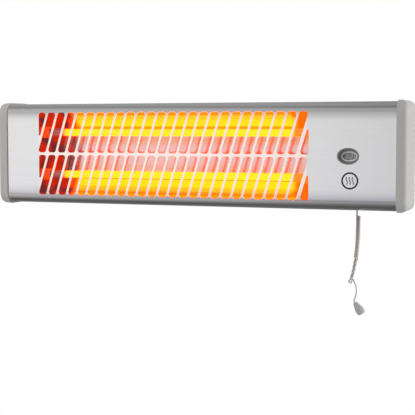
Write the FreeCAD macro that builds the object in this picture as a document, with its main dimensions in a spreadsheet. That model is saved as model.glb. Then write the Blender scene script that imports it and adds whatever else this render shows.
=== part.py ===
import FreeCAD, Part
import math
import os
import re

import Sketcher
from FreeCAD import Rotation, Vector

# Quartz wall heater: two glowing tubes behind a slanted slot grille, on a tilting wall bracket.
# Millimetres. X runs along the heater, -Y faces the room, +Z is up.
# The origin lies on the wall, in the middle of the bracket.

SIZES = {
    # rolled front casing
    "left_bay": 49,
    "right_bay": 117,
    "case_height": 130,
    "case_depth": 56,
    "case_sheet": 0.8,
    "case_bend": 13,
    "lip_width": 10,
    "lip_bend": 1.5,
    # slanted slots of the grille, two rows
    "slot_count": 25,
    "slot_pitch": 14.155,
    "slot_width": 11.2,
    "slot_corner": 3.4,
    "slot_tip": 1.3,
    "slot_lean": 17,
    "row_gap": 3.2,
    "row_overrun": 1.6,
    "end_inset": 1.5,
    "grille_offset": 4,
    # moulded end caps
    "cap_thick": 13,
    "cap_grip": 7,
    "cap_rim": 1.8,
    "cap_edge": 5,
    "cap_corner": 10,
    "cap_wall": 3.5,
    "cap_back_corner": 8,
    "cap_ledge": 3,
    "leg_reach": 15,
    "leg_size": 10,
    "seat_gap": 0.25,
    # back plate and its vents
    "plate_sheet": 1,
    "plate_margin": 0.8,
    "vent_count": 10,
    "vent_pitch": 36,
    "vent_length": 24,
    "vent_width": 3.5,
    "vent_edge": 18,
    # quartz tubes, coils and their ends
    "tube_length": 366,
    "tube_radius": 5,
    "tube_bore": 4,
    "tube_rise": 28,
    "tube_depth": 27,
    "coil_radius": 2.8,
    "coil_length": 319,
    "coil_shift": 1.5,
    "coil_tail": 0.6,
    "ceramic_radius": 7.5,
    "ceramic_grip": 8,
    "ceramic_tail": 14,
    "groove_radius": 5.5,
    "groove_from_tube": 9.5,
    "pin_radius": 1.5,
    "pin_reach": 7,
    "fit_gap": 0.1,
    # reflector
    "reflector_sheet": 0.6,
    "reflector_clear": 0.5,
    "reflector_gap": 6,
    "reflector_flange": 5,
    # tube carriers
    "carrier_sheet": 1,
    "carrier_gap": 11,
    "carrier_front": 5,
    "foot_length": 12,
    "foot_trim": 4,
    "wire_hole": 2.5,
    "wire_hole_back": 11,
    "wire_hole_drop": 14,
    # neutral strip on the two left pins
    "strip_sheet": 1,
    "strip_width": 8,
    "strip_margin": 5,
    "strip_inset": 6,
    # pull switch behind the window
    "switch_inset": 62.5,
    "switch_width": 40,
    "switch_height": 44,
    "drum_clear": 1.25,
    "cheek_sheet": 2.5,
    "cheek_height": 12,
    "cheek_front": 15,
    "drum_depth": 21.2,
    "drum_flat": 10,
    "drum_width": 12,
    "drum_side_gap": 0.5,
    "shaft_radius": 2,
    "shaft_overhang": 1,
    "rod_back": 11,
    "rod_radius": 2,
    "rod_in": 18,
    "rod_out": 12,
    "ferrule_radius": 3,
    "ferrule_length": 8,
    "ferrule_grip": 5,
    # oval window
    "window_shift": 1.9,
    "window_half_width": 13.5,
    "window_half_height": 10,
    "lens_half_width": 9,
    "lens_half_height": 5,
    "lens_depth": 7,
    "lens_sheet": 1.6,
    "lens_ledge": 1,
    "bezel_wall": 0.9,
    "bezel_flange": 2,
    "bezel_flange_sheet": 1.2,
    "bezel_proud": 0.3,
    # feed and cut-out
    "block_inset": 25,
    "block_width": 24,
    "block_height": 24,
    "block_depth": 14,
    "block_gap": 1,
    "well_radius": 3,
    "well_depth": 9,
    "well_pitch": 8,
    "gland_inset": 36,
    "gland_edge": 18,
    "gland_bore": 4,
    "gland_radius": 6,
    "gland_flange": 8,
    "gland_flange_sheet": 2.5,
    "gland_tail": 5,
    "cutout_radius": 8,
    "cutout_back": 18,
    "cutout_thick": 8,
    "cutout_flange": 10,
    "cutout_flange_sheet": 1.2,
    "tab_width": 5,
    "tab_sheet": 0.8,
    "tab_reach": 7,
    "tab_rise": 5,
    "lead_radius": 1.2,
    "lead_bend": 10,
    # pull cord and knob
    "cord_radius": 0.85,
    "hole_in_bush": 1.5,
    "bush_radius": 4,
    "bush_flange": 6,
    "bush_flange_sheet": 1.5,
    "bush_tail": 6,
    "hang_drop": 1,
    "lead_gap": 0.4,
    "hank_turns": 20.356,
    "hank_pitch": 2.456,
    "hank_radius": 1.8,
    "hank_bend": 2.3,
    "hank_drop": 3.8,
    "twist_radius": 1.5,
    "twist_length": 19.5,
    "twist_turn": -390,
    "arch_radius": 2.1,
    "arch_offset": 0.6,
    "arch_clear": 3.8,
    "ring_radius": 1.75,
    "ring_drop": 6.6,
    "hank_drift": 7.6,
    "knob_length": 16.5,
    "knob_neck": 2.9,
    "knob_wide": 5.4,
    "knob_lean": 30,
    # wall bracket and tilt pivot
    "stand_off": 40,
    "strip_height": 24,
    "bracket_sheet": 2,
    "bracket_bend": 3,
    "arm_x": 150,
    "arm_end": 9,
    "pivot_clear": 13,
    "wall_hole_radius": 3,
    "wall_hole_x": 110,
    "ear_sheet": 2,
    "ear_radius": 9,
    "ear_foot": 24,
    "washer_sheet": 1,
    "washer_radius": 7,
    "bolt_radius": 2.4,
    "bolt_head": 4.5,
    "bolt_head_thick": 3.5,
    "nut_radius": 4.6,
    "nut_thick": 4,
    # small fasteners
    "screw_radius": 1.5,
    "screw_head": 3,
    "screw_head_thick": 2,
    "cap_screw_inset": 16,
    "cap_screw_edge": 7,
    "cap_screw_length": 9,
    "carrier_screw_inset": 14,
    "carrier_screw_length": 6,
    "switch_screw_x": 14,
    "switch_screw_length": 9,
    "rivet_radius": 2,
    "rivet_head": 4,
    "rivet_head_thick": 1.5,
    "rivet_rise": 6,
}

# Lengths that follow from the sizes above
LINKED = {
    "case_length": "(tube_length + left_bay + right_bay)",
    "tube_shift": "((left_bay - right_bay) / 2)",
    "grille_shift": "(tube_shift + grille_offset)",
    "row_height": "((case_height - row_gap) / 2 - case_bend + row_overrun)",
    "vent_rise": "(case_height / 2 - vent_edge)",
    "reflector_reach": "(case_height / 2 - reflector_gap - reflector_flange - tube_rise)",
    "carrier_height": "(case_height - 2 * carrier_gap)",
    "foot_height": "(carrier_height - 2 * foot_trim)",
    "carrier_screw_rise": "(foot_height / 2 - carrier_screw_inset)",
    "cap_screw_x": "(case_length / 2 - cap_screw_inset)",
    "cap_screw_rise": "(case_height / 2 - cap_screw_edge)",
    "switch_x": "(case_length / 2 - switch_inset)",
    "window_x": "(switch_x - window_shift)",
    "gland_x": "(case_length / 2 - gland_inset)",
    "gland_drop": "(case_height / 2 - gland_edge)",
    "block_x": "(case_length / 2 - block_inset)",
    "block_drop": "(gland_drop - gland_radius - block_gap - block_height / 2)",
    "pivot_out": "(stand_off - pivot_clear)",
    "switch_depth": "(case_depth - drum_depth - drum_flat / cos(30 deg) - drum_clear)",
    "rod_depth": "(case_depth - rod_back)",
    "wire_hole_depth": "(case_depth - wire_hole_back)",
    "cutout_depth": "(case_depth - cutout_back)",
    "reflector_focus": "(ceramic_radius + reflector_clear)",
}

FRONT = "(-(stand_off + plate_sheet + case_depth))"
PLATE_IN = "(-(stand_off + plate_sheet))"
CASE_END = "(case_length / 2)"
CAP_IN = "(case_length / 2 - cap_grip)"
TUBE_Y = f"({FRONT} + tube_depth)"
GRILLE_WIDTH = "((slot_count - 1) * slot_pitch + slot_width + row_height * tan(slot_lean * 1 deg))"
GRILLE_LEFT = f"(grille_shift - {GRILLE_WIDTH} / 2)"
ROD_Y = f"({FRONT} + rod_depth)"
DRUM_Y = f"({FRONT} + drum_depth)"
SWITCH_FRONT = f"({PLATE_IN} - switch_depth)"
BEZEL_BACK = f"({FRONT} + lens_depth + lens_sheet + fit_gap)"
BUSH_MOUTH = "(-case_height / 2 - bush_flange_sheet)"
LEAD_Y = f"({FRONT} + wire_hole_depth)"

doc = FreeCAD.newDocument("quartz_wall_heater")
dims = doc.addObject("Spreadsheet::Sheet", "dims")
for row, (alias, number) in enumerate(SIZES.items(), start=1):
    dims.set(f"A{row}", alias)
    dims.set(f"B{row}", str(number))
    dims.setAlias(f"B{row}", alias)
doc.recompute()

nodes = {}


# Formulas and numbers from the sheet

def formula(text):
    def from_sheet(word):
        if word[0] in LINKED:
            return formula(LINKED[word[0]])
        return "dims." + word[0] if word[0] in SIZES else word[0]
    return re.sub(r"[a-z][a-z_0-9]*", from_sheet, str(text))


def size(text):
    return float(dims.evalExpression(formula(text)))


def bind(thing, **formulas):
    for name, text in formulas.items():
        thing.setExpression(name, formula(text))


def place(thing, x="0", y="0", z="0"):
    for axis, text in zip("xyz", (x, y, z)):
        thing.setExpression("Placement.Base." + axis, formula(text))


def node(label, thing):
    thing.Label = label
    nodes[label] = thing
    return thing


# Part primitives whose faces are given as formulas

TURN = {"x": Rotation(Vector(0, 1, 0), 90), "y": Rotation(Vector(1, 0, 0), -90), "z": Rotation()}


def block(x, y, z):
    box = doc.addObject("Part::Box", "block")
    spans = [f"({high}) - ({low})" for low, high in (x, y, z)]
    bind(box, Length=spans[0], Width=spans[1], Height=spans[2])
    place(box, x[0], y[0], z[0])
    return box


def rod(axis, start, length, radius, x="0", y="0", z="0"):
    cylinder = doc.addObject("Part::Cylinder", "rod")
    bind(cylinder, Radius=radius, Height=length)
    cylinder.Placement.Rotation = TURN[axis]
    at = {"x": x, "y": y, "z": z}
    at[axis] = start
    place(cylinder, **at)
    return cylinder


def oval(half_width, half_height, y):
    curve = doc.addObject("Part::Ellipse", "oval")
    bind(curve, MajorRadius=half_width, MinorRadius=half_height)
    curve.Placement.Rotation = Rotation(Vector(1, 0, 0), 90)
    place(curve, "window_x", y)
    return curve


def oval_plate(half_width, half_height, front, thickness):
    plate = doc.addObject("Part::Extrusion", "oval_plate")
    plate.Base = oval(half_width, half_height, front)
    plate.DirMode = "Custom"
    plate.Dir = Vector(0, 1, 0)
    plate.Solid = True
    bind(plate, LengthFwd=thickness)
    return plate


def fuse(*things):
    whole = doc.addObject("Part::MultiFuse", "whole")
    whole.Shapes = list(things)
    return whole


def cut(base, *tools):
    result = doc.addObject("Part::Cut", "cut")
    result.Base = base
    result.Tool = tools[0] if len(tools) == 1 else fuse(*tools)
    return result


def group(*things):
    bunch = doc.addObject("Part::Compound", "bunch")
    bunch.Links = list(things)
    return bunch


# PartDesign bodies, sketches and features

def new_body(name):
    return doc.addObject("PartDesign::Body", name)


def origin_part(body, role):
    return next(part for part in body.Origin.OriginFeatures if part.Role == role)


def sketch(body, plane, offset="0"):
    drawing = body.newObject("Sketcher::SketchObject", "profile")
    drawing.AttachmentSupport = (origin_part(body, plane), [""])
    drawing.MapMode = "FlatFace"
    drawing.setExpression("AttachmentOffset.Base.z", formula(offset))
    return drawing


def hold_point(drawing, geometry, end, u, v):
    for kind, text in (("DistanceX", u), ("DistanceY", v)):
        held = drawing.addConstraint(Sketcher.Constraint(kind, -1, 1, geometry, end, size(text)))
        drawing.setExpression(f"Constraints[{held}]", formula(text))


def circle(drawing, u, v, radius):
    shape = Part.Circle(Vector(size(u), size(v), 0), Vector(0, 0, 1), size(radius))
    ring = drawing.addGeometry(shape, False)
    hold_point(drawing, ring, 3, u, v)
    held = drawing.addConstraint(Sketcher.Constraint("Radius", ring, size(radius)))
    drawing.setExpression(f"Constraints[{held}]", formula(radius))


def corner_arc(before, corner, after, radius):
    """Tangent points, centre and turn of a rounded corner."""
    inward = (before - corner).normalize()
    onward = (after - corner).normalize()
    half = inward.getAngle(onward) / 2
    start = corner + inward * (radius / math.tan(half))
    end = corner + onward * (radius / math.tan(half))
    centre = corner + (inward + onward).normalize() * (radius / math.sin(half))
    turns_left = (corner - before).cross(after - corner).z > 0
    return start, end, centre, turns_left


def outline(drawing, corners):
    """A closed outline: corners are (u, v) or (u, v, radius), all formulas."""
    count = len(corners)
    points = [Vector(size(corner[0]), size(corner[1]), 0) for corner in corners]
    rounds = {}
    for index, corner in enumerate(corners):
        if len(corner) == 3:
            before, after = points[index - 1], points[(index + 1) % count]
            rounds[index] = corner_arc(before, points[index], after, size(corner[2]))
    lines = []
    for index in range(count):
        following = (index + 1) % count
        start = rounds[index][1] if index in rounds else points[index]
        end = rounds[following][0] if following in rounds else points[following]
        lines.append(drawing.addGeometry(Part.LineSegment(start, end), False))
    for index, corner in enumerate(corners):
        incoming, outgoing = lines[index - 1], lines[index]
        if index not in rounds:
            drawing.addConstraint(Sketcher.Constraint("Coincident", incoming, 2, outgoing, 1))
            hold_point(drawing, outgoing, 1, corner[0], corner[1])
            continue
        start, end, centre, turns_left = rounds[index]
        first, last = (start, end) if turns_left else (end, start)
        angles = [math.atan2(spot.y - centre.y, spot.x - centre.x) for spot in (first, last)]
        whole = Part.Circle(centre, Vector(0, 0, 1), size(corner[2]))
        arc = drawing.addGeometry(Part.ArcOfCircle(whole, angles[0], angles[1]), False)
        apex = drawing.addGeometry(Part.Point(points[index]), True)
        hold_point(drawing, apex, 1, corner[0], corner[1])
        drawing.addConstraint(Sketcher.Constraint("PointOnObject", apex, 1, incoming))
        drawing.addConstraint(Sketcher.Constraint("PointOnObject", apex, 1, outgoing))
        into, out_of = (1, 2) if turns_left else (2, 1)
        drawing.addConstraint(Sketcher.Constraint("Tangent", incoming, 2, arc, into))
        drawing.addConstraint(Sketcher.Constraint("Tangent", arc, out_of, outgoing, 1))
        held = drawing.addConstraint(Sketcher.Constraint("Radius", arc, size(corner[2])))
        drawing.setExpression(f"Constraints[{held}]", formula(corner[2]))


def rectangle(drawing, u, v, radius=None):
    corners = [(u[0], v[0]), (u[1], v[0]), (u[1], v[1]), (u[0], v[1])]
    outline(drawing, [corner + (radius,) if radius else corner for corner in corners])


def pad(body, drawing, length, backwards=False):
    feature = body.newObject("PartDesign::Pad", "pad")
    feature.Profile = drawing
    feature.Reversed = backwards
    bind(feature, Length=length)
    return feature


def pocket(body, drawing, depth, backwards=False):
    """A cut against the sketch's normal, or along it when backwards, that has to remove metal."""
    doc.recompute()
    before = body.Shape.Volume
    feature = body.newObject("PartDesign::Pocket", "pocket")
    feature.Profile = drawing
    feature.Reversed = backwards
    bind(feature, Length=depth)
    doc.recompute()
    if body.Shape.Volume >= before:
        raise ValueError("pocket removes nothing in " + body.Name)
    return feature


def revolve(body, drawing, axis="H_Axis"):
    feature = body.newObject("PartDesign::Revolution", "turned")
    feature.Profile = drawing
    feature.ReferenceAxis = (drawing, [axis])
    feature.Angle = 360
    return feature


def row_of(body, feature, role, count, length):
    doc.recompute()
    row = body.newObject("PartDesign::LinearPattern", "row")
    row.Originals = [feature]
    row.Direction = (origin_part(body, role), [""])
    bind(row, Length=length, Occurrences=count)
    body.Tip = row
    return row


def fillet(body, feature, radius, wanted):
    doc.recompute()
    names = [f"Edge{number}" for number, edge in enumerate(feature.Shape.Edges, start=1) if wanted(edge)]
    rounding = body.newObject("PartDesign::Fillet", "rounding")
    rounding.Base = (feature, names)
    bind(rounding, Radius=radius)
    return rounding


def chamfered(corners):
    """Cuts off the square corners that name a third size."""
    cut_off = []
    for index, corner in enumerate(corners):
        if len(corner) == 2:
            cut_off.append(corner)
            continue
        for other in (corners[index - 1], corners[(index + 1) % len(corners)]):
            u_step, v_step = (size(other[end]) - size(corner[end]) for end in (0, 1))
            if abs(u_step) > abs(v_step):
                cut_off.append((f"{corner[0]} {'+' if u_step > 0 else '-'} {corner[2]}", corner[1]))
            else:
                cut_off.append((corner[0], f"{corner[1]} {'+' if v_step > 0 else '-'} {corner[2]}"))
    return cut_off


def turned_part(name, corners, side="", axis="H_Axis", plane="XZ_Plane"):
    """A body turned about its own axis from half its section."""
    body = new_body(name)
    drawing = sketch(body, plane)
    outline(drawing, [(f"{side}({corner[0]})",) + tuple(corner[1:]) for corner in corners])
    revolve(body, drawing, axis)
    return body


# Tubes on arcs and straight runs

def arc_from(start, knee, end):
    """The arc from start to end whose end tangents meet at knee, or a line where it is straight."""
    chord = end - start
    half = chord.Length / 2
    middle = (start + end) * 0.5
    rise = knee - middle
    if rise.Length < 1e-6 * half:
        return Part.LineSegment(start, end)
    bow = half * math.tan(math.atan2(rise.Length, half) / 2)
    return Part.Arc(start, middle + rise.normalize() * bow, end)


def biarc(start, start_way, end, end_way):
    """Two tangent arcs that join two points with their directions."""
    across = end - start
    both = start_way + end_way
    square = 2 * (start_way.dot(end_way) - 1)
    linear = -2 * across.dot(both)
    constant = across.dot(across)
    if abs(square) < 1e-9:
        reach = constant / -linear
    else:
        reach = (-linear - math.sqrt(linear * linear - 4 * square * constant)) / (2 * square)
    first_knee = start + start_way * reach
    last_knee = end - end_way * reach
    joint = (first_knee + last_knee) * 0.5
    return [arc_from(start, first_knee, joint), arc_from(joint, last_knee, end)]


def rounded_route(points):
    """Straight runs joined by arcs as large as the shorter run at each point allows."""
    curves = []
    radii = []
    here = points[0]
    for before, point, after in zip(points, points[1:], points[2:]):
        inward = before - point
        onward = after - point
        reach = 0.45 * min(inward.Length, onward.Length)
        half_turn = (math.pi - inward.getAngle(onward)) / 2
        radii.append(reach / math.tan(half_turn))
        start = point + inward.normalize() * reach
        end = point + onward.normalize() * reach
        curves.append(Part.LineSegment(here, start))
        curves.append(arc_from(start, point, end))
        here = end
    curves.append(Part.LineSegment(here, points[-1]))
    return curves, radii


def swept_tube(curves, radius, sides=0):
    """A solid tube along the curves, round or with flat sides."""
    path = Part.Wire([curve.toShape() for curve in curves])
    start = curves[0].value(curves[0].FirstParameter)
    way = Vector(*curves[0].tangent(curves[0].FirstParameter)[0])
    if sides:
        aside = way.cross(Vector(0, 1, 0)).normalize() * radius
        ring = [start + Rotation(way, 360 * step / sides).multVec(aside) for step in range(sides + 1)]
        section = Part.makePolygon(ring)
        area = sides / 2 * radius ** 2 * math.sin(2 * math.pi / sides)
    else:
        section = Part.Wire(Part.Circle(start, way, radius).toShape())
        area = math.pi * radius ** 2
    tube = path.makePipeShell([section], True, False)
    share = tube.Volume / (area * path.Length)
    if abs(share - 1) > 0.02:
        raise ValueError(f"tube volume is {share:.3f} of its section times its length")
    return tube


def tube_node(label, points, radius):
    curves, radii = rounded_route(points)
    tube = doc.addObject("Part::Feature", label)
    tube.Shape = swept_tube(curves, radius)
    print(label, "bend radii", " ".join(f"{bend:.1f}" for bend in radii))
    return node(label, tube)


# Rolled front casing with the slot grille

def make_front_casing():
    body = new_body("casing_sheet")
    section = sketch(body, "YZ_Plane", f"-{CASE_END}")
    top, back, inner = "case_height / 2", PLATE_IN, "case_sheet"
    outer_half = [
        (back, f"{top} - lip_width"), (back, top, "lip_bend"), (FRONT, top, "case_bend"),
    ]
    inner_half = [
        (f"{FRONT} + {inner}", f"{top} - {inner}", f"case_bend - {inner}"),
        (f"{back} - {inner}", f"{top} - {inner}", f"lip_bend - {inner}"),
        (f"{back} - {inner}", f"{top} - lip_width"),
    ]

    def mirrored(half):
        return [(corner[0], f"-({corner[1]})") + tuple(corner[2:]) for corner in reversed(half)]

    outline(section, outer_half + mirrored(outer_half) + mirrored(inner_half) + inner_half)
    pad(body, section, "case_length")

    slots = sketch(body, "XZ_Plane", f"-{FRONT}")
    triangles = sketch(body, "XZ_Plane", f"-{FRONT}")
    slant = "tan(slot_lean * 1 deg)"
    run = f"row_height * {slant}"
    bar = "(slot_pitch - slot_width)"
    right = f"({GRILLE_LEFT} + {GRILLE_WIDTH})"
    left = f"({GRILLE_LEFT} + end_inset)"
    wedge = f"({run} - {bar} - end_inset)"
    for low in ("row_gap / 2", "-row_gap / 2 - row_height"):
        high = f"{low} + row_height"
        outline(slots, [
            (GRILLE_LEFT, low, "slot_corner"),
            (f"{GRILLE_LEFT} + slot_width", low, "slot_corner"),
            (f"{GRILLE_LEFT} + slot_width + {run}", high, "slot_corner"),
            (f"{GRILLE_LEFT} + {run}", high, "slot_corner"),
        ])
        outline(triangles, [
            (left, high, "slot_corner"),
            (left, f"{high} - {wedge} / {slant}", "slot_tip"),
            (f"{left} + {wedge}", high, "slot_corner"),
        ])
        outline(triangles, [
            (right, low, "slot_corner"),
            (right, f"{low} + {wedge} / {slant}", "slot_tip"),
            (f"{right} - {wedge}", low, "slot_corner"),
        ])
    pocket(body, triangles, "case_sheet * 2")
    one_column = pocket(body, slots, "case_sheet * 2")
    row_of(body, one_column, "X_Axis", "slot_count", "(slot_count - 1) * slot_pitch")

    cord_hole = sketch(body, "XY_Plane", "-case_height / 2")
    circle(cord_hole, "switch_x", ROD_Y, "bush_radius + fit_gap")
    pocket(body, cord_hole, "case_sheet * 2", backwards=True)

    screw_holes = sketch(body, "XZ_Plane", f"-{PLATE_IN}")
    for side in ("-", ""):
        for end in ("-", ""):
            circle(screw_holes, f"{end}cap_screw_x", f"{side}cap_screw_rise", "screw_radius + fit_gap")
    pocket(body, screw_holes, "case_sheet * 2", backwards=True)

    window = oval_plate("window_half_width", "window_half_height", f"{FRONT} - case_sheet", "case_sheet * 3")
    node("front_casing", cut(body, window))


def make_back_plate():
    body = new_body("back_plate")
    sheet = sketch(body, "XZ_Plane", "stand_off")
    half_height = "(case_height / 2 - plate_margin)"
    half_length = f"({CASE_END} - plate_margin)"
    rectangle(sheet, (f"-{half_length}", half_length), (f"-{half_height}", half_height))
    pad(body, sheet, "plate_sheet")

    holes = sketch(body, "XZ_Plane", "stand_off")
    for rise in ("-", ""):
        for end in ("-", ""):
            circle(holes, f"{end}cap_screw_x", f"{rise}cap_screw_rise", "screw_radius + fit_gap")
            circle(holes, f"{end}({EAR_FOOT_X})", f"{rise}rivet_rise", "rivet_radius + fit_gap")
        for carrier_x in (carrier_screw_x("-"), carrier_screw_x("")):
            circle(holes, carrier_x, f"{rise}carrier_screw_rise", "screw_radius + fit_gap")
        circle(holes, f"switch_x {rise or '+'} switch_screw_x", "0", "screw_radius + fit_gap")
    circle(holes, "gland_x", "-gland_drop", "gland_radius + fit_gap")
    pocket(body, holes, "plate_sheet * 2", backwards=True)

    vents = sketch(body, "XZ_Plane", "stand_off")
    first = "-(vent_count - 1) * vent_pitch / 2 + tube_shift"
    for rise in ("-vent_rise", "vent_rise"):
        rectangle(vents, (f"{first} - vent_length / 2", f"{first} + vent_length / 2"),
                  (f"{rise} - vent_width / 2", f"{rise} + vent_width / 2"), "vent_width * 0.48")
    one_pair = pocket(body, vents, "plate_sheet * 2", backwards=True)
    row_of(body, one_pair, "X_Axis", "vent_count", "(vent_count - 1) * vent_pitch")
    node("back_plate", body)


# Moulded end caps

def make_end_cap(name, side):
    body = new_body(name)
    inward = side != "-"
    low_y, high_y = f"({FRONT} - cap_rim)", "(-stand_off + cap_rim)"
    half = "(case_height / 2 + cap_rim)"

    def profile(drawing, inset, front_corner, back_corner):
        outline(drawing, [
            (f"{low_y} + {inset}", f"-{half} + {inset}", front_corner),
            (f"{high_y} - {inset}", f"-{half} + {inset}", back_corner),
            (f"{high_y} - {inset}", f"{half} - {inset}", back_corner),
            (f"{low_y} + {inset}", f"{half} - {inset}", front_corner),
        ])

    inner_x = f"{side}{CAP_IN}"
    shell = sketch(body, "YZ_Plane", inner_x)
    profile(shell, "0", "case_bend + cap_rim", "cap_back_corner")
    block_of_cap = pad(body, shell, "cap_thick", backwards=not inward)
    outer_x = size(f"{side}({CAP_IN} + cap_thick)")

    def on_outer_face(edge):
        return all(abs(corner.X - outer_x) < 1e-6 for corner in edge.Vertexes)

    fillet(body, block_of_cap, "cap_edge", on_outer_face)

    # the upper and lower corners are rounded off as seen from the front
    shaved = sketch(body, "XZ_Plane", f"-({low_y} - cap_rim)")
    steps = "", "- cap_corner * 1.5", "+ cap_rim"
    outer, within, beyond = [f"{side}({CAP_IN} + cap_thick {step})" for step in steps]
    for rise in ("-", ""):
        top, low, over = [f"{rise}({half} {step})" for step in steps]
        outline(shaved, [
            (within, over), (within, top), (outer, top, "cap_corner"),
            (outer, low), (beyond, low), (beyond, over),
        ])
    pocket(body, shaved, "case_depth + plate_sheet + cap_rim * 4")

    seat = sketch(body, "YZ_Plane", inner_x)
    clear = "(cap_rim - seat_gap)"
    profile(seat, clear, "case_bend + seat_gap", "lip_bend / 2")
    pocket(body, seat, "cap_grip", backwards=inward)
    hollow = sketch(body, "YZ_Plane", inner_x)
    profile(hollow, "(cap_rim + cap_ledge)", "case_bend - cap_ledge", "lip_bend")
    pocket(body, hollow, "cap_thick - cap_wall", backwards=inward)

    legs = sketch(body, "YZ_Plane", f"{side}({CAP_IN} + cap_thick - cap_wall)")
    leg_back = f"({PLATE_IN} - case_sheet)"
    for rise in ("-", ""):
        rectangle(legs, (f"{leg_back} - leg_size", leg_back),
                  (f"{rise}cap_screw_rise - leg_size / 2", f"{rise}cap_screw_rise + leg_size / 2"))
    pad(body, legs, "cap_thick - cap_wall + leg_reach", backwards=inward)
    pilot = sketch(body, "XZ_Plane", f"-{leg_back}")
    for rise in ("-", ""):
        circle(pilot, f"{side}cap_screw_x", f"{rise}cap_screw_rise", "screw_radius")
    pocket(body, pilot, "leg_size * 0.9", backwards=True)
    node(name, body)


# Quartz tubes, heating coils and ceramic ends

def tube_end(side):
    return f"(tube_shift {side or '+'} tube_length / 2)"


def carrier_plane(side):
    return f"({tube_end(side)} {side or '+'} groove_from_tube)"


def carrier_screw_x(side):
    return f"({carrier_plane(side)} {side or '+'} (carrier_sheet + foot_length) / 2)"


def make_tube_set(level, rise):
    tube = new_body("quartz_tube_" + level)
    ring = sketch(tube, "YZ_Plane", tube_end("-"))
    circle(ring, TUBE_Y, f"{rise}tube_rise", "tube_radius")
    circle(ring, TUBE_Y, f"{rise}tube_rise", "tube_bore")
    pad(tube, ring, "tube_length")
    node("quartz_tube_" + level, tube)

    at = {"y": TUBE_Y, "z": f"{rise}tube_rise"}
    winding = rod("x", "tube_shift + coil_shift - coil_length / 2", "coil_length", "coil_radius", **at)
    tails = rod("x", tube_end("-"), "tube_length", "coil_tail", **at)
    node("heating_coil_" + level, fuse(winding, tails))

    for side, word in (("-", "left"), ("", "right")):
        groove = "groove_from_tube"
        half_groove = "(carrier_sheet / 2 + fit_gap)"
        ceramic = turned_part(f"ceramic_{level}_{word}", chamfered([
            ("-ceramic_grip", "tube_radius + fit_gap"),
            ("-ceramic_grip", "ceramic_radius", "fit_gap * 8"),
            (f"{groove} - {half_groove}", "ceramic_radius"),
            (f"{groove} - {half_groove}", "groove_radius"),
            (f"{groove} + {half_groove}", "groove_radius"),
            (f"{groove} + {half_groove}", "ceramic_radius"),
            ("ceramic_tail", "ceramic_radius", "fit_gap * 8"),
            ("ceramic_tail", "pin_radius + fit_gap"),
            ("0", "pin_radius + fit_gap"),
            ("0", "tube_radius + fit_gap"),
        ]), side)
        place(ceramic, tube_end(side), **at)
        node(f"ceramic_{level}_{word}", ceramic)


def make_terminal_pins():
    pins = []
    for rise in ("-", ""):
        pins.append(rod("x", f"{tube_end('-')} - ceramic_tail - pin_reach", "ceramic_tail + pin_reach",
                        "pin_radius", y=TUBE_Y, z=f"{rise}tube_rise"))
        pins.append(rod("x", tube_end(""), "ceramic_tail + pin_reach",
                        "pin_radius", y=TUBE_Y, z=f"{rise}tube_rise"))
    node("terminal_pins", group(*pins))


def make_neutral_strip():
    body = new_body("neutral_strip")
    face = f"({tube_end('-')} - ceramic_tail - pin_reach + strip_inset)"
    flat = sketch(body, "YZ_Plane", face)
    reach = "(tube_rise + strip_margin)"
    rectangle(flat, (f"{TUBE_Y} - strip_width / 2", f"{TUBE_Y} + strip_width / 2"),
              (f"-{reach}", reach), "strip_width * 0.45")
    pad(body, flat, "strip_sheet")
    holes = sketch(body, "YZ_Plane", face)
    for rise in ("-", ""):
        circle(holes, TUBE_Y, f"{rise}tube_rise", "pin_radius + fit_gap")
    pocket(body, holes, "strip_sheet * 2", backwards=True)
    node("neutral_strip", body)


def make_tube_carrier(word, side):
    body = new_body("tube_carrier_" + word)
    middle = carrier_plane(side)
    outward = side or "+"
    inner_face = f"({middle} - carrier_sheet / 2)"
    plate = sketch(body, "YZ_Plane", inner_face)
    front = f"({FRONT} + carrier_front)"
    notch = "(groove_radius + fit_gap)"
    bottom_of_notch = f"({TUBE_Y} + {notch})"
    top = "carrier_height / 2"
    corners = [(PLATE_IN, f"-{top}"), (front, f"-{top}")]
    for rise in ("-tube_rise", "tube_rise"):
        corners += [
            (front, f"{rise} - {notch}"),
            (bottom_of_notch, f"{rise} - {notch}", f"{notch} * 0.98"),
            (bottom_of_notch, f"{rise} + {notch}", f"{notch} * 0.98"),
            (front, f"{rise} + {notch}"),
        ]
    outline(plate, corners + [(front, top), (PLATE_IN, top)])
    pad(body, plate, "carrier_sheet")
    foot = sketch(body, "YZ_Plane", inner_face if side == "" else f"({middle} + carrier_sheet / 2)")
    rectangle(foot, (f"{PLATE_IN} - carrier_sheet", PLATE_IN), ("-foot_height / 2", "foot_height / 2"))
    pad(body, foot, "foot_length + carrier_sheet", backwards=side == "-")
    wire = sketch(body, "YZ_Plane", inner_face)
    circle(wire, LEAD_Y, "-wire_hole_drop", "wire_hole")
    pocket(body, wire, "carrier_sheet * 2", backwards=True)
    screws = sketch(body, "XZ_Plane", f"-{PLATE_IN}")
    for rise in ("-", ""):
        circle(screws, f"{middle} {outward} (carrier_sheet + foot_length) / 2",
               f"{rise}carrier_screw_rise", "screw_radius + fit_gap")
    pocket(body, screws, "carrier_sheet * 2", backwards=True)
    node("tube_carrier_" + word, body)


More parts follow.
